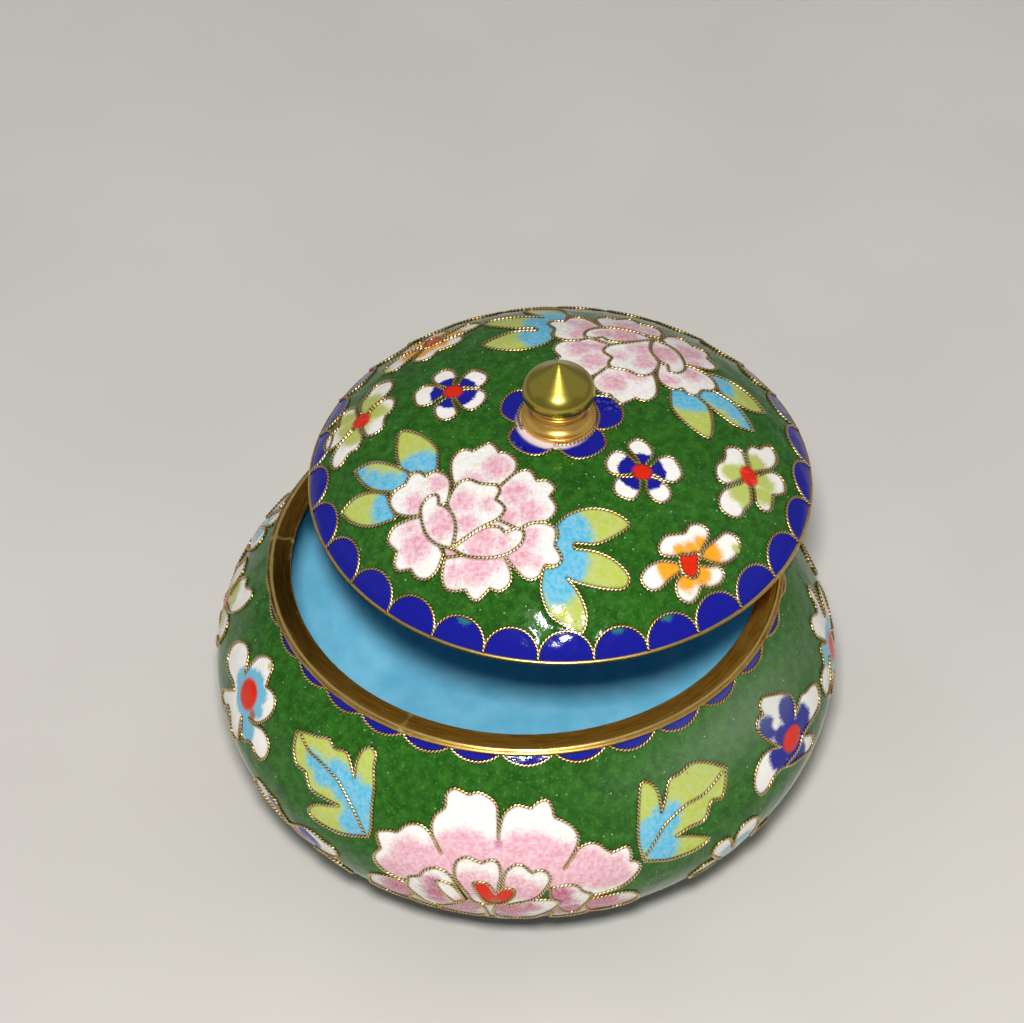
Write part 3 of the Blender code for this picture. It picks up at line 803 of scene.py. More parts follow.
# Colours and relief of the enamel on a grid of angles and runs. inside is the distance in mm into the
# nearest cell, share the distance into a pool of second colour, wire the distance to the nearest wire
# and dome the distance into a raised cell
def paint(angles, runs, motifs):
    angle, run = np.meshgrid(angles, runs)
    count, green = angle.size, linear(enamels["green"])
    value = {
        "enamel": np.tile(green, (count, 1)),
        "pool": np.tile(green, (count, 1)),
        "share": np.full(count, -painting["far"]),
        "soft": np.full(count, painting["groundSoft"]),
        "inside": np.full(count, painting["groundInside"]),
        "wire": np.full(count, painting["far"]),
        "dome": np.zeros(count),
    }
    for spot, cells in motifs:
        points = fromSurface(spot, angle, run).reshape(-1, 2)
        for line in visibleLines(cells):
            near = nearTo(points, line)
            value["wire"][near] = np.minimum(value["wire"][near], distanceTo(points[near], line))
        for item in cells:
            if item["enamel"]:
                near = nearTo(points, item["outline"])
                if len(near):
                    paintCell(value, item, points, near)
    return angle, run, value


# Lays one cell over what is there. It takes the points inside its outline, and those outside that are
# nearer to it than to any other cell, so that a wire has the right colour on either side
def paintCell(value, item, points, near):
    within = isInside(points[near], item["outline"])
    gap = distanceTo(points[near], evenly(item["outline"], painting["lineStep"]))
    signed = np.where(within, gap, -gap)
    edge = within if item["wire"] else (0.5 + signed / painting["meeting"]).clip(0, 1)
    cover = np.maximum(edge, signed > value["inside"][near])
    value["inside"][near] = np.maximum(value["inside"][near], signed)
    if item["raised"]:
        value["dome"][near] = np.maximum(value["dome"][near], signed)
        value["wire"][near] = np.minimum(value["wire"][near], gap + painting["rimGap"])
    taken, part = near[cover > 0], cover[cover > 0][:, None]
    for key, enamel in (("enamel", item["enamel"]), ("pool", item["second"])):
        value[key][taken] += part * (linear(enamels[enamel]) - value[key][taken])
    if item["pools"]:
        value["soft"][taken] = item["soft"]
        value["share"][taken] = -painting["far"]
    for x, y, radius in item["pools"]:
        into = radius - np.hypot(points[taken, 0] - x, points[taken, 1] - y)
        value["share"][taken] = np.maximum(value["share"][taken], into)


def newMaterial(name):
    material = bpy.data.materials.new(name)
    material.use_nodes = True
    return material, material.node_tree, material.node_tree.nodes["Principled BSDF"]


# Soft patches about size mm across, from 0 where a noise is at low to 1 where it is at high
def patches(tree, size, low=0.3, high=0.7, detail=2.0, roughness=0.5):
    place = addNode(tree, "TexCoord", {}, "Object")
    noise = addNode(tree, "TexNoise", {"Vector": place, "Scale": 1 / (size * mm), "Detail": detail,
                                       "Roughness": roughness})
    return addNode(tree, "MapRange", {"Value": noise, "From Min": low, "From Max": high},
                   interpolation_type="SMOOTHSTEP")


# Small round spots, spaced and sized in mm, and only a share of the places has one. core is the part of
# a spot's radius where it is full
def spots(tree, spacing, radius, share, core=0.55):
    place = addNode(tree, "TexCoord", {}, "Object")
    near = addNode(tree, "TexVoronoi", {"Vector": place, "Scale": 1 / (spacing * mm), "Randomness": 1.0})
    chosen = addNode(tree, "SeparateColor", {"Color": near.node.outputs["Color"]})
    chosen = addNode(tree, "Math", {0: chosen, 1: share}, operation="LESS_THAN")
    edge = radius / spacing
    spot = addNode(tree, "MapRange", {"Value": near, "From Min": edge, "From Max": edge * core},
                   interpolation_type="SMOOTHSTEP")
    return addNode(tree, "Math", {0: spot, 1: chosen}, operation="MULTIPLY")


# In these dictionaries patches are their size in mm, where their noise starts and ends, its detail and its
# roughness, and spots are their spacing and radius in mm and the share of places that has one
enamelLook = {
    "clouds": (1.7, 0.3, 0.75, 4.0, 0.6),
    "cloudDark": "#1d4d10",
    "cloudLight": "#326c1d",
    "grains": (0.5, 0.54, 0.78, 2.0, 0.7),
    "grainShare": 0.5,
    "grainColor": "#629849",
    "pits": (1.25, 0.16, 0.3),
    "pitShare": 0.8,
    "pitColor": "#b4cfa8",
    "wander": (1.5, 0.0, 1.0, 4.0, 0.7),
    "wanderReach": 2.4,             # mm that a pool's edge wanders
    "stipple": (0.32, 0.2, 0.8, 2.0, 0.6),
    "stippleReach": 1.3,            # and that its stippling spreads
    "loose": 0.15,                  # the share of both that a crisp pool has
    "looser": 0.6,                  # and how much more for each mm of softness
    "evenSoft": 0.55,               # a glaze whose pools are crisper than this is even
    "mottledSoft": 1.2,             # and one as soft as this is fully mottled
    "mottle": (0.8, 0.3, 0.72, 3.0, 0.7),
    "mottleDepth": (-0.3, 0.45),    # change of saturation
    "mottleShade": (0.03, -0.12),   # and of value
    "specks": (2.6, 0.24, 0.16),
    "speckShare": 0.55,
    "speckColor": "#4d4a66",
    "cellEdge": 0.1,                # mm either side of a cell's outline over which it turns to ground
    "seamShadeReach": (0.55, 0.25),      # mm from a wire's middle where its dark seam, partly painted shade, starts and where it is full
    "seamShadeShare": 0.4,
    "seamShadeColor": "#2a2410",
    "dustColor": "#93a08a",
    "dustRoughness": 0.3,
    "roughness": (0.08, 0.16),      # of the dark clouds and of the light ones
    "ior": 1.3,
    "waves": (4.5, 0.0, 1.0, 1.0),
    "waveDepth": 0.5,               # mm
    "skin": (0.6, 0.0, 1.0),
    "skinDepth": 0.05,              # mm
    "bumpShare": 0.4,
}


# Fired glass enamel, glazed and a little uneven: the ground is mottled green with fine pale grains
# and pinholes, and each cell has its own colour, with a second one bled into it from a pool
def enamelMaterial():
    look = enamelLook
    material, tree, shader = newMaterial("fired_enamel")
    attribute = {}
    for label in ("enamel", "pool", "share", "soft", "inside", "wire", "dust"):
        output = "Color" if label in ("enamel", "pool") else "Fac"
        attribute[label] = addNode(tree, "Attribute", {}, output, attribute_name=label)

    clouds = patches(tree, *look["clouds"])
    ground = addNode(tree, "Mix", {0: clouds, 6: look["cloudDark"], 7: look["cloudLight"]}, 2,
                     data_type="RGBA")
    for mask, share, color in ((patches(tree, *look["grains"]), look["grainShare"], look["grainColor"]),
                               (spots(tree, *look["pits"]), look["pitShare"], look["pitColor"])):
        amount = addNode(tree, "Math", {0: mask, 1: share}, operation="MULTIPLY")
        ground = addNode(tree, "Mix", {0: amount, 6: ground, 7: color}, 2, data_type="RGBA")

    # a pool is full where (share + wander (loose + looser soft)) / soft is 1, and gone where it is -1
    wander = addNode(tree, "Math", {0: patches(tree, *look["wander"]), 1: 0.5}, operation="SUBTRACT")
    stipple = addNode(tree, "Math", {0: patches(tree, *look["stipple"]), 1: 0.5}, operation="SUBTRACT")
    stipple = addNode(tree, "Math", {0: stipple, 1: look["stippleReach"]}, operation="MULTIPLY")
    wander = addNode(tree, "Math", {0: wander, 1: look["wanderReach"], 2: stipple}, operation="MULTIPLY_ADD")
    loose = addNode(tree, "Math", {0: attribute["soft"], 1: look["looser"], 2: look["loose"]},
                    operation="MULTIPLY_ADD")
    into = addNode(tree, "Math", {0: wander, 1: loose, 2: attribute["share"]}, operation="MULTIPLY_ADD")
    ratio = addNode(tree, "Math", {0: into, 1: attribute["soft"]}, operation="DIVIDE")
    bled = addNode(tree, "MapRange", {"Value": ratio, "From Min": -1.0, "From Max": 1.0},
                   interpolation_type="SMOOTHSTEP")
    glaze = addNode(tree, "Mix", {0: bled, 6: attribute["enamel"], 7: attribute["pool"]}, 2,
                    data_type="RGBA")

    # saturation and value are 1 at even places, and change by mottleDepth and mottleShade at mottled ones
    mottled = addNode(tree, "MapRange", {"Value": attribute["soft"], "From Min": look["evenSoft"],
                                         "From Max": look["mottledSoft"]})
    mottle = patches(tree, *look["mottle"])
    changed = []
    for low, high in (look["mottleDepth"], look["mottleShade"]):
        change = addNode(tree, "MapRange", {"Value": mottle, "To Min": low, "To Max": high})
        changed.append(addNode(tree, "Math", {0: change, 1: mottled, 2: 1.0}, operation="MULTIPLY_ADD"))
    glaze = addNode(tree, "HueSaturation", {"Color": glaze, "Saturation": changed[0], "Value": changed[1]})
    amount = addNode(tree, "Math", {0: spots(tree, *look["specks"]), 1: look["speckShare"]},
                     operation="MULTIPLY")
    glaze = addNode(tree, "Mix", {0: amount, 6: glaze, 7: look["speckColor"]}, 2, data_type="RGBA")

    inside = addNode(tree, "MapRange", {"Value": attribute["inside"], "From Min": -look["cellEdge"],
                                        "From Max": look["cellEdge"]})
    color = addNode(tree, "Mix", {0: inside, 6: ground, 7: glaze}, 2, data_type="RGBA")
    # a dark seam beside each wire: partly darker enamel bled at the wire, partly painted shade at the foot of
    # the raised wire
    starts, full = look["seamShadeReach"]
    seamShade = addNode(tree, "MapRange", {"Value": attribute["wire"], "From Min": starts, "From Max": full,
                                      "To Max": look["seamShadeShare"]}, interpolation_type="SMOOTHSTEP")
    color = addNode(tree, "Mix", {0: seamShade, 6: color, 7: look["seamShadeColor"]}, 2, data_type="RGBA")
    color = addNode(tree, "Mix", {0: attribute["dust"], 6: color, 7: look["dustColor"]}, 2, data_type="RGBA")

    smoothest, roughest = look["roughness"]
    rough = addNode(tree, "MapRange", {"Value": clouds, "To Min": smoothest, "To Max": roughest})
    rough = addNode(tree, "Math", {0: attribute["dust"], 1: look["dustRoughness"], 2: rough},
                    operation="MULTIPLY_ADD")
    waves = addNode(tree, "Bump", {"Height": patches(tree, *look["waves"]), "Strength": look["bumpShare"],
                                   "Distance": look["waveDepth"] * mm})
    skin = addNode(tree, "Bump", {"Height": patches(tree, *look["skin"]), "Strength": look["bumpShare"],
                                  "Distance": look["skinDepth"] * mm, "Normal": waves})
    setSockets(tree, shader, {"Base Color": color, "Roughness": rough, "IOR": look["ior"], "Normal": skin})
    return material


liningLook = {
    "clouds": (5.0, 0.3, 0.7, 3.0),
    "cloudDark": "#70c2e0",
    "cloudLight": "#84cfea",
    "specks": (2.4, 0.24, 0.3),
    "speckShare": 0.5,
    "speckColor": "#4a86a4",
    "roughness": 0.22,
    "ior": 1.46,
    "waves": (3.5, 0.0, 1.0),
    "waveDepth": 0.2,               # mm
    "bumpShare": 0.25,
}


# The plain sky-blue enamel inside: smooth and glossy, with a few dark specks
def liningMaterial():
    look = liningLook
    material, tree, shader = newMaterial("sky_blue_enamel")
    color = addNode(tree, "Mix", {0: patches(tree, *look["clouds"]), 6: look["cloudDark"],
                                  7: look["cloudLight"]}, 2, data_type="RGBA")
    amount = addNode(tree, "Math", {0: spots(tree, *look["specks"]), 1: look["speckShare"]},
                     operation="MULTIPLY")
    color = addNode(tree, "Mix", {0: amount, 6: color, 7: look["speckColor"]}, 2, data_type="RGBA")
    bump = addNode(tree, "Bump", {"Height": patches(tree, *look["waves"]), "Strength": look["bumpShare"],
                                  "Distance": look["waveDepth"] * mm})
    setSockets(tree, shader, {"Base Color": color, "Roughness": look["roughness"], "IOR": look["ior"],
                              "Normal": bump})
    return material


wireLook = {
    "clouds": (3.0, 0.3, 0.7, 3.0),
    # bright is the brass of the painted highlight on the bead tops, and hollow is painted shade between the
    # strands and down the sides
    "bright": ("#e3bd6e", "#fff0c2"),
    "hollow": "#614216",
    "beadHighlight": (0.12, 0.58),          # how high on a bead the painted highlight of bright brass starts and where it is full
    "roughness": 0.38,
}


# Twisted brass wire, drawn and soldered: a painted highlight where the strands stand up on its top, and
# painted shade in brown between the strands and down its sides
def wireMaterial():
    look = wireLook
    material, tree, shader = newMaterial("twisted_brass_wire")
    beadHighlight = addNode(tree, "Attribute", {}, "Fac", attribute_name="beadHighlight")
    duller, brighter = look["bright"]
    bright = addNode(tree, "Mix", {0: patches(tree, *look["clouds"]), 6: duller, 7: brighter}, 2,
                     data_type="RGBA")
    starts, full = look["beadHighlight"]
    amount = addNode(tree, "MapRange", {"Value": beadHighlight, "From Min": starts, "From Max": full},
                     interpolation_type="SMOOTHSTEP")
    color = addNode(tree, "Mix", {0: amount, 6: look["hollow"], 7: bright}, 2, data_type="RGBA")
    setSockets(tree, shader, {"Base Color": color, "Metallic": 1.0, "Roughness": look["roughness"]})
    return material


ringLook = {
    "streakLength": 5.0,            # mm
    "streakWidth": 0.35,            # mm
    "streakDetail": 4.0,
    "streakRoughness": 0.65,
    "streakDepth": 0.06,            # mm
    "bumpShare": 0.5,
    "worn": (0.35, 0.7),            # where the streaks start to lighten the brass and where it is lightest
    # the tarnished pair is partly painted shade and the clean pair partly painted light; warm mixes them
    "tarnishAndShade": ("#32250a", "#5c4413"),
    "cleanAndLit": ("#92651b", "#cf9a3c"),
    # rubbed gilt, which on the rounded edges is partly a painted highlight
    "rubbedAndSheen": "#edcb7c",
    "rubRange": (0.15, 0.75),       # how far it is rubbed, painted highlight included, where the bright metal starts and is full
    "ragged": 0.9,                  # how much the streaks add to that
    "flecks": (0.8, 0.55, 0.7, 4.0, 0.7),
    "fleckShare": 0.25,             # and the flecks
    "smooth": (0.3, 0.7),           # where the streaks start to smooth it and where it is smoothest
    "roughness": (0.42, 0.24),      # at those two
}


# Gilt brass sheet, drawn along its length: worn and tarnished olive brown on its flat, rubbed bright on
# its edges. Painted light is laid in: the brass is cleaner and lighter where the mouth ring faces the
# light, the tarnished brown is partly painted shade, and the rubbed edges are partly a painted highlight.
# drawn is a place whose first two numbers run round the ring and whose third runs across it
def ringMaterial():
    look = ringLook
    material, tree, shader = newMaterial("worn_gilt_brass")
    rubAndSheen = addNode(tree, "Attribute", {}, "Fac", attribute_name="rubAndSheen")
    warmAndLit = addNode(tree, "Attribute", {}, "Fac", attribute_name="warmAndLit")
    drawn = addNode(tree, "Attribute", {}, "Vector", attribute_name="drawn")
    streaks = addNode(tree, "TexNoise", {"Vector": drawn, "Scale": 1.0, "Detail": look["streakDetail"],
                                         "Roughness": look["streakRoughness"]})
    starts, full = look["worn"]
    worn = addNode(tree, "MapRange", {"Value": streaks, "From Min": starts, "From Max": full})
    shades = []
    for dark, light in (look["tarnishAndShade"], look["cleanAndLit"]):
        shades.append(addNode(tree, "Mix", {0: worn, 6: dark, 7: light}, 2, data_type="RGBA"))
    color = addNode(tree, "Mix", {0: warmAndLit, 6: shades[0], 7: shades[1]}, 2, data_type="RGBA")

    # rubbed = rub + ragged (streaks - 0.5) + fleckShare flecks; on rounded edges it is partly a painted
    # highlight
    ragged = addNode(tree, "Math", {0: streaks, 1: look["ragged"], 2: -look["ragged"] / 2},
                     operation="MULTIPLY_ADD")
    amount = addNode(tree, "Math", {0: rubAndSheen, 1: ragged}, operation="ADD")
    spread = addNode(tree, "Math", {0: patches(tree, *look["flecks"]), 1: look["fleckShare"]},
                     operation="MULTIPLY")
    amount = addNode(tree, "Math", {0: amount, 1: spread}, operation="ADD")
    starts, full = look["rubRange"]
    amount = addNode(tree, "MapRange", {"Value": amount, "From Min": starts, "From Max": full})
    color = addNode(tree, "Mix", {0: amount, 6: color, 7: look["rubbedAndSheen"]}, 2, data_type="RGBA")

    starts, full = look["smooth"]
    roughest, smoothest = look["roughness"]
    rough = addNode(tree, "MapRange", {"Value": streaks, "From Min": starts, "From Max": full,
                                       "To Min": roughest, "To Max": smoothest})
    bump = addNode(tree, "Bump", {"Height": streaks, "Strength": look["bumpShare"],
                                  "Distance": look["streakDepth"] * mm})
    setSockets(tree, shader, {"Base Color": color, "Metallic": 1.0, "Roughness": rough, "Normal": bump})
    return material


finialLook = {
    "ball": "#b3a447",
    # below is lighter than the ball, partly a painted reflection of light on the neck and flare
    "below": "#ffcc6c",
    "dull": "#7c6420",
    "dullRange": (0.45, 0.75),      # where the lathe rings start to be dull and where they are dullest
    "dullShare": 0.2,
    "ringSpacing": 0.25,            # mm
    "ringWander": 50 / 3,           # mm over which the rings waver
    "ringDetail": 2.0,
    "ringDepth": 0.015,             # mm
    "roughness": 0.26,              # of the ball
    "rougher": 0.04,                # and how much more below it
}


# Turned brass with fine lathe rings, a greenish yellow lacquer on the ball and warmer below it, where the
# neck and flare are lighter, partly a painted reflection of light
def finialMaterial():
    look = finialLook
    material, tree, shader = newMaterial("turned_brass")
    place = addNode(tree, "TexCoord", {}, "Object")
    scale = [1 / (size * mm) for size in (look["ringWander"], look["ringWander"], look["ringSpacing"])]
    rings = addNode(tree, "Mapping", {"Vector": place, "Scale": scale})
    lathe = addNode(tree, "TexNoise", {"Vector": rings, "Scale": 1.0, "Detail": look["ringDetail"]})
    warmAndLit = addNode(tree, "Attribute", {}, "Fac", attribute_name="warmAndLit")
    color = addNode(tree, "Mix", {0: warmAndLit, 6: look["ball"], 7: look["below"]}, 2, data_type="RGBA")
    starts, full = look["dullRange"]
    dull = addNode(tree, "MapRange", {"Value": lathe, "From Min": starts, "From Max": full,
                                      "To Max": look["dullShare"]})
    color = addNode(tree, "Mix", {0: dull, 6: color, 7: look["dull"]}, 2, data_type="RGBA")
    rough = addNode(tree, "Math", {0: warmAndLit, 1: look["rougher"], 2: look["roughness"]},
                    operation="MULTIPLY_ADD")
    bump = addNode(tree, "Bump", {"Height": lathe, "Strength": 1.0, "Distance": look["ringDepth"] * mm})
    setSockets(tree, shader, {"Base Color": color, "Metallic": 1.0, "Roughness": rough, "Normal": bump})
    return material


enamelGlass = enamelMaterial()
liningGlass = liningMaterial()
wireBrass = wireMaterial()
ringBrass = ringMaterial()
finialBrass = finialMaterial()


# Enamelled surfaces: the turned surface on a fine grid, lifted by
# meniscus exp(-(wire / meniscusWidth) ^ 2) + swell (1 - exp(-inside / swellWidth))
# + dome (1 - exp(-into / domeWidth)), where into is the distance into a raised cell
relief = {
    "meniscus": 0.10,
    "meniscusWidth": 0.55,
    "swell": 0.10,
    "swellWidth": 1.2,
    "dome": 0.22,
    "domeWidth": 0.7,
    "edgeFade": 0.4,              # the relief dies at the metal edges
    "bodyColumns": 780,
    "bodyRows": 160,
    "lidColumns": 640,
    "lidRows": 150,
    "dustMiddle": (-38.0, 7.0),   # degrees round and mm down from the mouth, where dust dulls the shoulder
    "dustReach": (26.0, 6.0),     # degrees and mm
    "dustShare": 0.32,
}


def enamelGrid(surface, columns, rows, motifs):
    angles = np.arange(columns) * math.tau / columns
    runs = np.linspace(0, surface["run"][-1], rows)
    angle, run, value = paint(angles, runs, motifs)
    rise = relief["meniscus"] * np.exp(-(value["wire"] / relief["meniscusWidth"]) ** 2)
    rise += relief["swell"] * (1 - np.exp(-value["inside"].clip(0) / relief["swellWidth"]))
    rise += relief["dome"] * (1 - np.exp(-value.pop("dome") / relief["domeWidth"]))
    left = surface["run"][-1] - run
    if surface is bodyShape:
        left = np.minimum(run, left)
    lift = rise.reshape(angle.shape) * (left / relief["edgeFade"]).clip(0, 1)
    points = surfacePoints(surface, angle, run, lift)
    down = np.gradient(points, axis=0)
    beside = np.roll(points, -1, axis=1) - np.roll(points, 1, axis=1)
    normals = np.cross(down, beside)
    drawn = np.linalg.norm(normals, axis=-1, keepdims=True) > tiny    # not so at the lid's pole
    normals = np.where(drawn, unit(normals), surfaceNormals(surface, angle, run))
    (azimuth, drop), (besideReach, downReach) = relief["dustMiddle"], relief["dustReach"]
    apart = (np.degrees(angle) - azimuth + 180) % 360 - 180
    away = np.hypot(apart / besideReach, (run - drop) / downReach)
    share = relief["dustShare"] if surface is bodyShape else 0.0
    value["dust"] = share * np.exp(-away ** 2).ravel()
    return points, normals, value


# One piece of an enamelled grid: columns are those that it takes; a whole turn is closed
def enamelPiece(name, points, normals, value, columns, closing):
    rows = points.shape[0]
    flat = {}
    for key, array in value.items():
        picked = array.reshape(rows, points.shape[1], -1)[:, columns].reshape(rows * len(columns), -1)
        flat[key] = picked if picked.shape[1] == 3 else picked[:, 0]
    own = None if closing else normals[:, columns].reshape(-1, 3)
    quads = gridQuads(rows, len(columns), closing)
    return makeMesh(name, points[:, columns].reshape(-1, 3), quads, enamelGlass, own, flat)


# The body's enamel in three pieces. Each starts a quarter of its width before a third of the turn, so
# that the front one has its middle at the front
def bodyEnamel(motifs):
    columns, sides = relief["bodyColumns"], ("right", "back", "front")
    points, normals, value = enamelGrid(bodyShape, columns, relief["bodyRows"], motifs)
    share = columns // len(sides)
    made = []
    for i, side in enumerate(sides):
        start = i * share - share // 4
        picked = np.arange(start, start + share + 1) % columns
        made.append(enamelPiece(f"body_enamel_{side}", points, normals, value, picked, False))
    return made


def lidEnamel(motifs):
    columns = relief["lidColumns"]
    points, normals, value = enamelGrid(lidShape, columns, relief["lidRows"], motifs)
    return closePole(enamelPiece("lid_enamel", points, normals, value, np.arange(columns), True))


# Twisted wire: a tube along its line whose section is lobed, so that its two strands show one bead for
# every half turn: radius = thick + lobe cos(2 (turn - pi s / bead)). A mask on the tops of the beads,
# fading down the wire's sides, places a painted highlight there
wire = {
    "bead": 0.68,
    "ringsPerBead": 4,
    "sides": 6,
    "thick": 0.245,
    "lobe": 0.09,
    "lift": 0.14,         # of its middle over the turned surface
    "joined": 0.3,        # a wire whose ends are nearer than this is a loop
    "shortest": 4,        # rings: a shorter wire is left out
    "highlightFalloff": 0.5,      # power by which the painted highlight fades down the wire's sides
}


def wireMesh(name, lines):
    sides, ringsPerBead, lift = wire["sides"], wire["ringsPerBead"], wire["lift"]
    turns = (np.arange(sides) + 0.5) * math.tau / sides
    outward, upward = np.cos(turns)[None, :, None], np.sin(turns)[None, :, None]
    startCap = np.array([[0, 1, 2, 3], [0, 3, 4, 5]])   # two quads close a six-sided end
    # the painted highlight lies on the wire's top and fades down its sides
    topHighlight = np.sin(turns).clip(0, 1) ** wire["highlightFalloff"]
    points, quads, beadHighlights, count = [], [], [], 0
    for surface, angle, run in lines:
        path = surfacePoints(surface, angle, run, lift)
        closed = np.linalg.norm(path[0] - path[-1]) < wire["joined"]
        steps = np.linalg.norm(np.diff(path, axis=0), axis=1)
        along = np.concatenate([[0.0], np.cumsum(steps)])
        if along[-1] < wire["shortest"] * wire["bead"] / ringsPerBead:
            continue
        beads = max(1, round(along[-1] / wire["bead"]))
        rings = beads * ringsPerBead + (0 if closed else 1)
        at = np.arange(rings) * along[-1] / (beads * ringsPerBead)
        angle = np.interp(at, along, np.unwrap(angle))
        run = np.interp(at, along, run)
        path = surfacePoints(surface, angle, run, lift)
        if closed:
            ahead = unit(np.roll(path, -1, axis=0) - np.roll(path, 1, axis=0))
        else:
            ahead = unit(np.gradient(path, axis=0))
        up = surfaceNormals(surface, angle, run)
        aside = unit(np.cross(ahead, up))
        wave = np.cos(2 * turns[None, :] - math.tau * np.arange(rings)[:, None] / ringsPerBead)
        radius = (wire["thick"] + wire["lobe"] * wave)[..., None]
        tube = path[:, None] + radius * (outward * aside[:, None] + upward * up[:, None])
        ends = rings * sides
        mesh = [gridQuads(rings + closed, sides, True) % ends]
        if not closed:
            mesh += [startCap, startCap[:, ::-1] + ends - sides]
        points.append(tube.reshape(-1, 3))
        quads += [part + count for part in mesh]
        beadHighlights.append(((wave / 2 + 0.5) * topHighlight).ravel())
        count += ends
    beadHighlight = {"beadHighlight": np.concatenate(beadHighlights)}
    return makeMesh(name, np.concatenate(points), np.concatenate(quads), wireBrass, None, beadHighlight)


# The lines of the motifs' wires, as angles and runs on their surface
def motifLines(motifs):
    lines = []
    for spot, cells in motifs:
        lines += [(spot["surface"], *toSurface(spot, line)) for line in visibleLines(cells)]
    return lines


# A piece turned about an axis: its profile (radius, height) runs down an outer side and up an inner one,
# so that the faces point outwards. A closed profile is a ring, an open one a sheet or a solid that starts
# or ends on the axis
def turnedPiece(name, profile, axis, columns, material, closed=False, values=None):
    radius, height = np.array(profile, dtype=float).T
    angle = np.arange(columns) * math.tau / columns
    x = axis[0] + radius[:, None] * np.cos(angle)
    y = axis[1] + radius[:, None] * np.sin(angle)
    points = np.stack([x, y, np.broadcast_to(height[:, None], x.shape)], axis=-1).reshape(-1, 3)
    rows = len(profile)
    quads = gridQuads(rows + closed, columns, True) % (rows * columns)
    return closePole(makeMesh(name, points, quads, material, None, values))


# A turned ring of gilt brass, with what its material reads at each point. Each row of its profile gives
# the radius, the height and the rub, which is how bright it is rubbed there, partly a painted highlight
# on rounded edges, and seams adds to the rub. warm is how clean the flat is, at the mouth ring's front
# also painted light, and drawn is the place counted in streaks: round the ring by their length, across
# by their width
def giltRing(name, rows, axis, columns, warmAndLit, seams=0.0):
    rows = np.array(rows, dtype=float)
    profile, rubAndSheen = rows[:, :2], rows[:, 2:]
    angle = np.arange(columns) * math.tau / columns
    middle = profile[:, 0].mean()
    x = middle * np.cos(angle) / ringLook["streakLength"]
    y = middle * np.sin(angle) / ringLook["streakLength"]
    run = np.cumsum(np.hypot(*np.diff(profile, axis=0, prepend=profile[:1]).T))
    z = run[:, None] / ringLook["streakWidth"]
    x, y, z, rubAndSheen, warmAndLit = np.broadcast_arrays(x, y, z, rubAndSheen + seams, warmAndLit)
    values = {"drawn": np.stack([x, y, z], axis=-1).reshape(-1, 3), "rubAndSheen": rubAndSheen.ravel(), "warmAndLit": warmAndLit.ravel()}
    return turnedPiece(name, profile, axis, columns, ringBrass, True, values)


# The mouth ring: a flat top with a rubbed inner corner, a groove, a thin roll and a sloping outer edge.
# The last number of each point of flat, groove and skirt is its rub; the rub highest on the roll's top is
# partly a painted highlight
mouthRing = {
    "corner": 0.22,
    "cornerRub": (0.3, 0.5, 0.65, 0.5, 0.2),
    "flat": ((0.8, 0.03, -0.1), (1.9, 0.05, -0.1)),     # out from the inner side, down from the top
    "groove": ((0.1, 0.04, 0.0), (0.0, 0.09, 0.1)),     # in from the roll, down from the top
    "roll": 0.30,
    "rollInset": 0.82,                                  # of the roll's middle from the outer side
    # the rub peaks on the roll's top: partly rubbed gilt, partly a painted highlight
    "rollRubAndSheen": (0.5, 0.75, 0.9, 1.0, 1.0, 0.9, 0.7, 0.4),
    "edgeDrop": 0.42,                                   # of the outer edge below the top
    "skirt": (                                          # in from the outer side, down from the outer edge
        (0.4, -0.16, 0.2), (0.05, -0.02, 0.45), (0.0, 0.05, 0.5), (0.12, 0.4, 0.1),
    ),
    "footInset": 0.6,                                   # of the underside's edge from the outer side
    "columns": 720,
    "warmAndLitSides": (                                      # degrees, how clean it is there, and how far round; cleanest at the front, partly painted light
        (-90, 1.0, 0.5), (-22, 0.9, 0.16), (148, 0.5, 0.12),
    ),
    "seams": ((172.3, 0.4), (-118.0, 0.1)),             # degrees, and how far the seam wavers in mm
    "seamWidth": 0.4,
    "seamRub": 0.6,
    "seamTurns": 3,                                     # radians of its wavering for each mm out
}


def mouthRingPiece():
    ring, top, foot = mouthRing, ringHigh[2], bodyHigh[2]
    outer, inner, corner, roll = mouthRingRadius, mouthRadius, ring["corner"], ring["roll"]
    rollMiddle, edge = outer - ring["rollInset"], top - ring["edgeDrop"]
    cornerArc = arc(inner + corner, top - corner, corner, 180, 90, len(ring["cornerRub"]))
    rollArc = arc(rollMiddle, top - roll, roll, 130, 25, len(ring["rollRubAndSheen"]))
    rows = [(*point, rubAndSheen) for point, rubAndSheen in zip(cornerArc, ring["cornerRub"])]
    rows += [(inner + out, top - down, rubAndSheen) for out, down, rubAndSheen in ring["flat"]]
    rows += [(rollMiddle - roll - back, top - down, rubAndSheen) for back, down, rubAndSheen in ring["groove"]]
    rows += [(*point, rubAndSheen) for point, rubAndSheen in zip(rollArc, ring["rollRubAndSheen"])]
    rows += [(outer - back, edge - down, rubAndSheen) for back, down, rubAndSheen in ring["skirt"]]
    rows += [(outer - ring["footInset"], foot, 0.0), (inner, foot, 0.0)]

    angle = np.arange(ring["columns"]) * 360 / ring["columns"]
    radius = np.array(rows)[:, :1]
    warmAndLit, seams = 0.0, 0.0
    for azimuth, share, reach in ring["warmAndLitSides"]:
        warmAndLit = warmAndLit + share * np.exp(-((1 - np.cos(np.radians(angle - azimuth))) / reach) ** 2)
    for azimuth, waver in ring["seams"]:
        apart = (angle - azimuth + 180) % 360 - 180
        off = np.radians(apart) * radius + waver * np.sin(radius * ring["seamTurns"])
        seams = seams + ring["seamRub"] * np.exp(-(off / ring["seamWidth"]) ** 2)
    return giltRing("mouth_ring_gilt", rows, bodyAxis, ring["columns"], warmAndLit, seams)


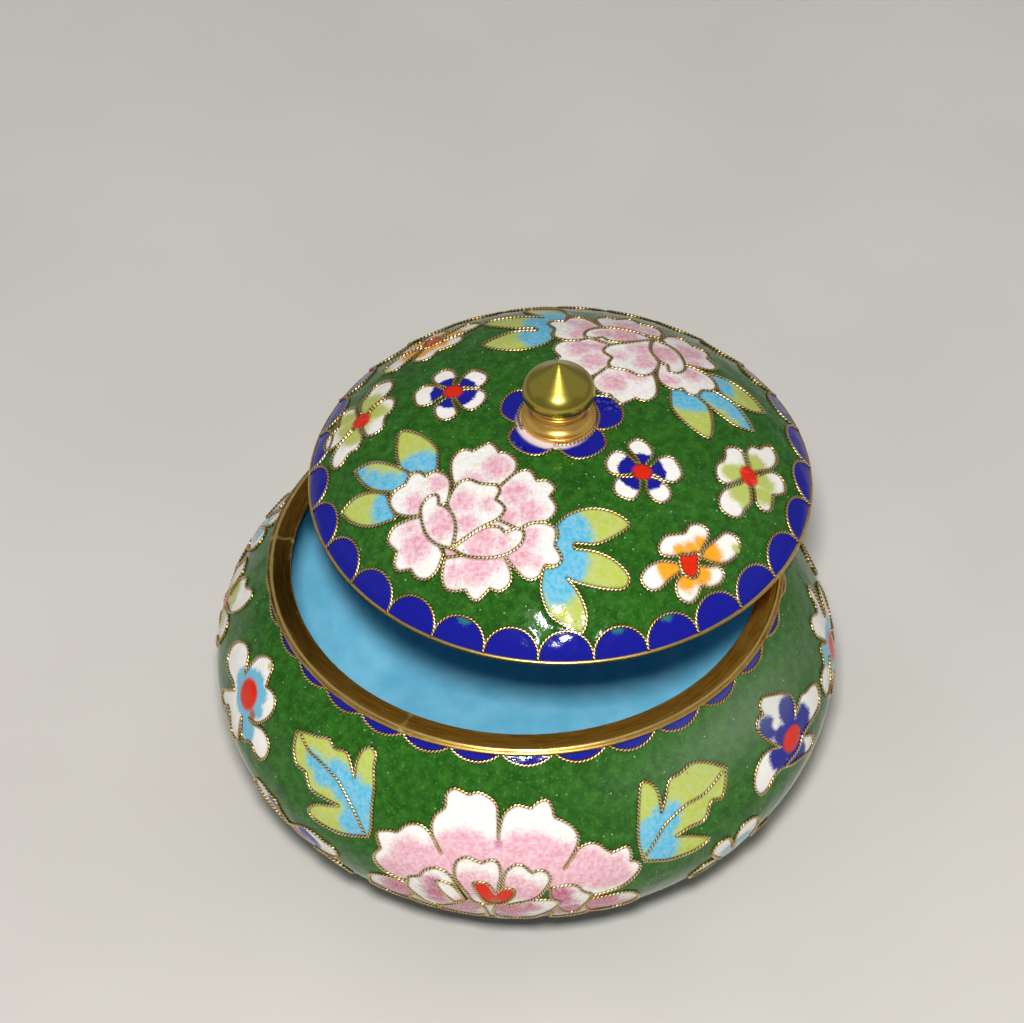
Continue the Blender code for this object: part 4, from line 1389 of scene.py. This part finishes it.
# The lid's thin gilt edge, a half-round bead, with the low lip inside it
lidRing = {
    "edgeDepth": 0.6,       # of the bead's underside below the ring's top
    "flatInset": 0.3,       # of the flat's end from the bead
    "lipClearance": 0.8,    # of the lip inside the mouth
    "lipWidth": 1.0,
    "flatRub": (0.1, 0.3),
    "beadRub": 0.55,
    "lipRub": 0.2,
    "columns": 480,
    "warmAndLit": 0.7,
}


def lidRingPiece():
    ring, edge = lidRing, (lidRingHigh - lidRingLow)[0] / 2
    top, low, under = domeLow[2], lidRingLow[2], lidRingHigh[2] - ring["edgeDepth"]
    lip = mouthRadius - ring["lipClearance"]
    inner, half = lip - ring["lipWidth"], (top - under) / 2
    flat = ((inner, top), (edge - half - ring["flatInset"], top))
    rows = [(*point, rubAndSheen) for point, rubAndSheen in zip(flat, ring["flatRub"])]
    rows += [(*point, ring["beadRub"]) for point in arc(edge - half, under + half, half, 90, -90, 9)]
    rows += [(*point, ring["lipRub"]) for point in ((lip, under), (lip, low), (inner, low))]
    return giltRing("lid_ring_gilt", rows, lidAxis, ring["columns"], ring["warmAndLit"])


# The foot ring, with a rounded outer and inner edge where it stands
footRing = {
    "outerRound": 0.5,
    "outerRub": 0.6,
    "innerRound": 0.3,
    "innerRub": 0.5,
    "topRub": (0.2, 0.1),   # outside and inside, under the body
    "columns": 240,
    "warmAndLit": 0.6,
}


def footRingPiece():
    ring, top = footRing, bodyLow[2]
    big, small = ring["outerRound"], ring["innerRound"]
    outer, inner = (footHigh - footLow)[0] / 2, footRadius - body["footRingWidth"]
    rows = [(footRadius, top, ring["topRub"][0])]
    rows += [(*point, ring["outerRub"]) for point in arc(outer - big, big, big, 20, -90, 6)]
    rows += [(*point, ring["innerRub"]) for point in arc(inner + small, small, small, 270, 180, 4)]
    rows += [(inner, top, ring["topRub"][1])]
    return giltRing("foot_ring_gilt", rows, bodyAxis, ring["columns"], ring["warmAndLit"])


# The finial: a cone tangent to a flattened ball, a thin bead under it, a short neck and a flared base
finial = {
    "ballRadius": 6.1,
    "ballRise": 4.05,
    "ballPoints": 32,
    "tipRise": 2.16,                                      # of the point above the ball
    "tipRound": 0.25,
    # the rounded tip: how far out each of its points lies, and how far out the cone is at its height,
    # both in tipRounds
    "tipCurve": ((0.0, 0.55), (0.6, 0.75), (1.1, 1.15)),
    "coneShares": (0.15, 0.3, 0.5, 0.7, 0.85),            # where the cone's points lie, of its radius
    "undercut": 38,                                       # degrees
    "bead": 0.27,
    "beadPlace": (0.02, 0.22),                            # out and down from the ball's end
    "neckRadius": 4.6,
    "coveHeight": 2.1,
    "covePoints": 10,
    "baseEdge": 0.5,
    "baseRound": (0.1, 0.15),                             # how far its upper edge is taken in and down
    "sunk": 0.3,                                          # of the base into the dome
    "columns": 160,
}


def finialPiece():
    low, high = nodeBox("finial")
    axis, foot, peak = (low + high)[:2] / 2, low[2], high[2]
    baseRadius, radius, rise = (high - low)[0] / 2, finial["ballRadius"], finial["ballRise"]
    ball = peak - finial["tipRise"] - rise
    top = math.asin(rise / (rise + finial["tipRise"]))
    turns = np.linspace(top, -math.radians(finial["undercut"]), finial["ballPoints"])
    globe = [(radius * math.cos(turn), ball + rise * math.sin(turn)) for turn in turns]
    coneRadius, coneFoot = globe[0]
    slope = (peak - coneFoot) / coneRadius
    point = finial["tipRound"]
    tip = [(point * out, peak - slope * point * down) for out, down in finial["tipCurve"]]
    tip += [(coneRadius * share, peak - slope * coneRadius * share) for share in finial["coneShares"]]
    out, down = finial["beadPlace"]
    bead = arc(globe[-1][0] + out, globe[-1][1] - down, finial["bead"], 70, -80, 7)
    roundIn, roundDown = finial["baseRound"]
    widest, edge = baseRadius - roundIn, foot + finial["baseEdge"]
    flare = []
    for turn in np.linspace(0, math.pi / 2, finial["covePoints"]):
        flare.append((widest - (widest - finial["neckRadius"]) * math.cos(turn),
                      edge + finial["coveHeight"] * (1 - math.sin(turn))))
    sunk = foot - finial["sunk"]
    rim = [(baseRadius, edge - roundDown), (baseRadius, sunk), (0, sunk)]
    # the warm share marks the bead, neck and flare, whose lighter colour is partly a painted reflection
    warmAndLit = np.array([0.0] * (len(tip) + len(globe)) + [1.0] * (len(bead) + len(flare) + len(rim)))
    values = {"warmAndLit": np.repeat(warmAndLit, finial["columns"])}
    profile = tip + globe + bead + flare + rim
    return turnedPiece("finial_turned", profile, axis, finial["columns"], finialBrass, False, values)


# The blue insides: the outer sides moved in by their walls
lining = {
    "columns": 240,
    "bowlStep": 6,          # one in this many of the outer side's points is taken
    "rimInset": 0.4,        # of the wall's top, under the mouth ring
    "cornerRise": 0.4,      # of the wall's lowest point over the floor
    "cornerInset": 1.2,     # and of the floor's edge from it
    "floorRings": 12,
    "lidStep": 12,          # and one in this many of the dome's
    "baseColumns": 160,
    "baseEdge": 0.95,       # share of the base's radius where its hollow starts
}


# The bowl's inside, down to a flat floor
def bowlLining():
    wall = body["wall"]
    radius = bodyShape["radius"] - wall * bodyShape["out"]
    height = bodyShape["height"] - wall * bodyShape["up"]
    floor = bodyLow[2] + body["baseHollow"] + wall
    keep = (height > floor + lining["cornerRise"]) & (height < bodyHigh[2])
    side = list(zip(radius[keep][::lining["bowlStep"]], height[keep][::lining["bowlStep"]]))
    rim = (side[0][0] - lining["rimInset"], bodyHigh[2])
    corner = side[-1][0] - lining["cornerInset"]
    rings = [(corner * share, floor) for share in np.linspace(1, 0, lining["floorRings"])]
    profile = [(shoulderRadius, bodyHigh[2]), rim] + side + rings
    return turnedPiece("bowl_lining", profile[::-1], bodyAxis, lining["columns"], liningGlass)


# The base inside the foot ring, hollowed by a parabola
def bodyUnderside():
    hollow, inner = body["baseHollow"], footRadius - body["footRingWidth"]
    profile = [(footRadius, bodyLow[2]), (inner, bodyLow[2])]
    for share in np.linspace(lining["baseEdge"], 0, lining["floorRings"]):
        profile.append((inner * share, bodyLow[2] + hollow - hollow * share ** 2))
    return turnedPiece("body_underside", profile, bodyAxis, lining["baseColumns"], liningGlass)


# The lid's inside, closed at its crown
def lidLining():
    inner = domeSurface(lid["wall"])
    side = list(zip(inner["radius"][::-lining["lidStep"]], inner["height"][::-lining["lidStep"]]))
    profile = [(domeRadius, domeLow[2])] + side + [(0.0, inner["height"][0])]
    return turnedPiece("lid_lining", profile, lidAxis, lining["columns"], liningGlass)


# Build the jar
bodyParts = bodyMotifs()
lidParts = lidMotifs()
pieces = {"jar_body": bodyEnamel(bodyParts)}
print("body enamel made")
pieces["lid_dome"] = [lidEnamel(lidParts), lidLining()]
print("lid enamel made")
bodyLines = motifLines(bodyParts)
lidLines = motifLines(lidParts)
half = len(bodyLines) // 2
pieces["jar_body"] += [wireMesh("body_wires_a", bodyLines[:half]), wireMesh("body_wires_b", bodyLines[half:])]
pieces["lid_dome"].append(wireMesh("lid_wires", lidLines))
print("wires made")
pieces["jar_body"] += [bowlLining(), bodyUnderside()]
pieces["mouth_ring"] = [mouthRingPiece()]
pieces["foot_ring"] = [footRingPiece()]
pieces["lid_ring"] = [lidRingPiece()]
pieces["finial"] = [finialPiece()]
for node, made in pieces.items():
    for piece in made:
        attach(piece, "root")
        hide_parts(node)
triangles = {piece.name: len(piece.data.polygons) * 2 for made in pieces.values() for piece in made}
print("rings, finial and linings made;", sum(triangles.values()), "triangles in all,",
      max(triangles.values()), "in the largest piece")


# Floor, light and camera
stage = {
    "floorSize": 4000,
    "floorPatches": 60.0,
    "floorColors": ("#d2cec7", "#d7d3cc"),
    "floorRoughness": 0.85,
    "cameraDistance": 800,
    "cameraRise": 45.37,          # degrees
    "cameraReach": 20000,
    "lens": 168.4,
    "shift": (-0.0132, 0.0487),
    "worldColor": "#ffffff",
    "worldStrength": 0.24,
    "lightAim": 40,               # height over the floor that the lights are aimed at
    "lights": (                   # degrees round and up, distance, size and power in watts
        ("key", -91, 51, 900, 75, 7.7),
        ("fill_left", 165, 40, 1500, 1500, 1.2),
        ("fill_right", 15, 40, 1500, 1500, 1.2),
    ),
}


# Plain pale card for the floor
def floorMaterial():
    material, tree, shader = newMaterial("pale_card")
    darker, lighter = stage["floorColors"]
    color = addNode(tree, "Mix", {0: patches(tree, stage["floorPatches"]), 6: darker, 7: lighter}, 2,
                    data_type="RGBA")
    setSockets(tree, shader, {"Base Color": color, "Roughness": stage["floorRoughness"]})
    return material


def addFloor():
    half = stage["floorSize"] / 2
    points = np.array([(-half, -half, 0), (half, -half, 0), (half, half, 0), (-half, half, 0)])
    floor = makeMesh("floor", points, np.array([[0, 1, 2, 3]]), floorMaterial())


def addCamera():
    data = bpy.data.cameras.new("camera")
    data.lens = stage["lens"]
    data.shift_x, data.shift_y = stage["shift"]
    data.clip_end = stage["cameraReach"] * mm
    camera = bpy.data.objects.new("camera", data)
    rise = math.radians(stage["cameraRise"])
    target = Vector((bodyAxis[0], bodyAxis[1], ringHigh[2]))
    away = Vector((0, -math.cos(rise), math.sin(rise))) * stage["cameraDistance"]
    camera.location = (target + away) * mm
    camera.rotation_euler = (math.pi / 2 - rise, 0, 0)
    bpy.context.scene.collection.objects.link(camera)
    bpy.context.scene.camera = camera


# A square area light, placed by azimuth and rise in degrees round the jar, and aimed at it
def addLight(name, azimuth, rise, distance, size, power):
    data = bpy.data.lights.new(name, "AREA")
    data.size = size * mm
    data.energy = power
    light = bpy.data.objects.new(name, data)
    turn, lift = math.radians(azimuth), math.radians(rise)
    away = Vector((math.cos(turn) * math.cos(lift), math.sin(turn) * math.cos(lift), math.sin(lift)))
    light.location = (away * distance + Vector((0, 0, stage["lightAim"]))) * mm
    light.rotation_euler = away.to_track_quat("Z", "Y").to_euler()
    bpy.context.scene.collection.objects.link(light)


def addWorld():
    world = bpy.data.worlds.new("studio")
    world.use_nodes = True
    tree = world.node_tree
    light = {"Color": stage["worldColor"], "Strength": stage["worldStrength"]}
    setSockets(tree, tree.nodes["Background"], light)
    bpy.context.scene.world = world


addFloor()
addCamera()
addWorld()
for light in stage["lights"]:
    addLight(*light)
bpy.context.scene.view_settings.view_transform = "Standard"
print("stage made")
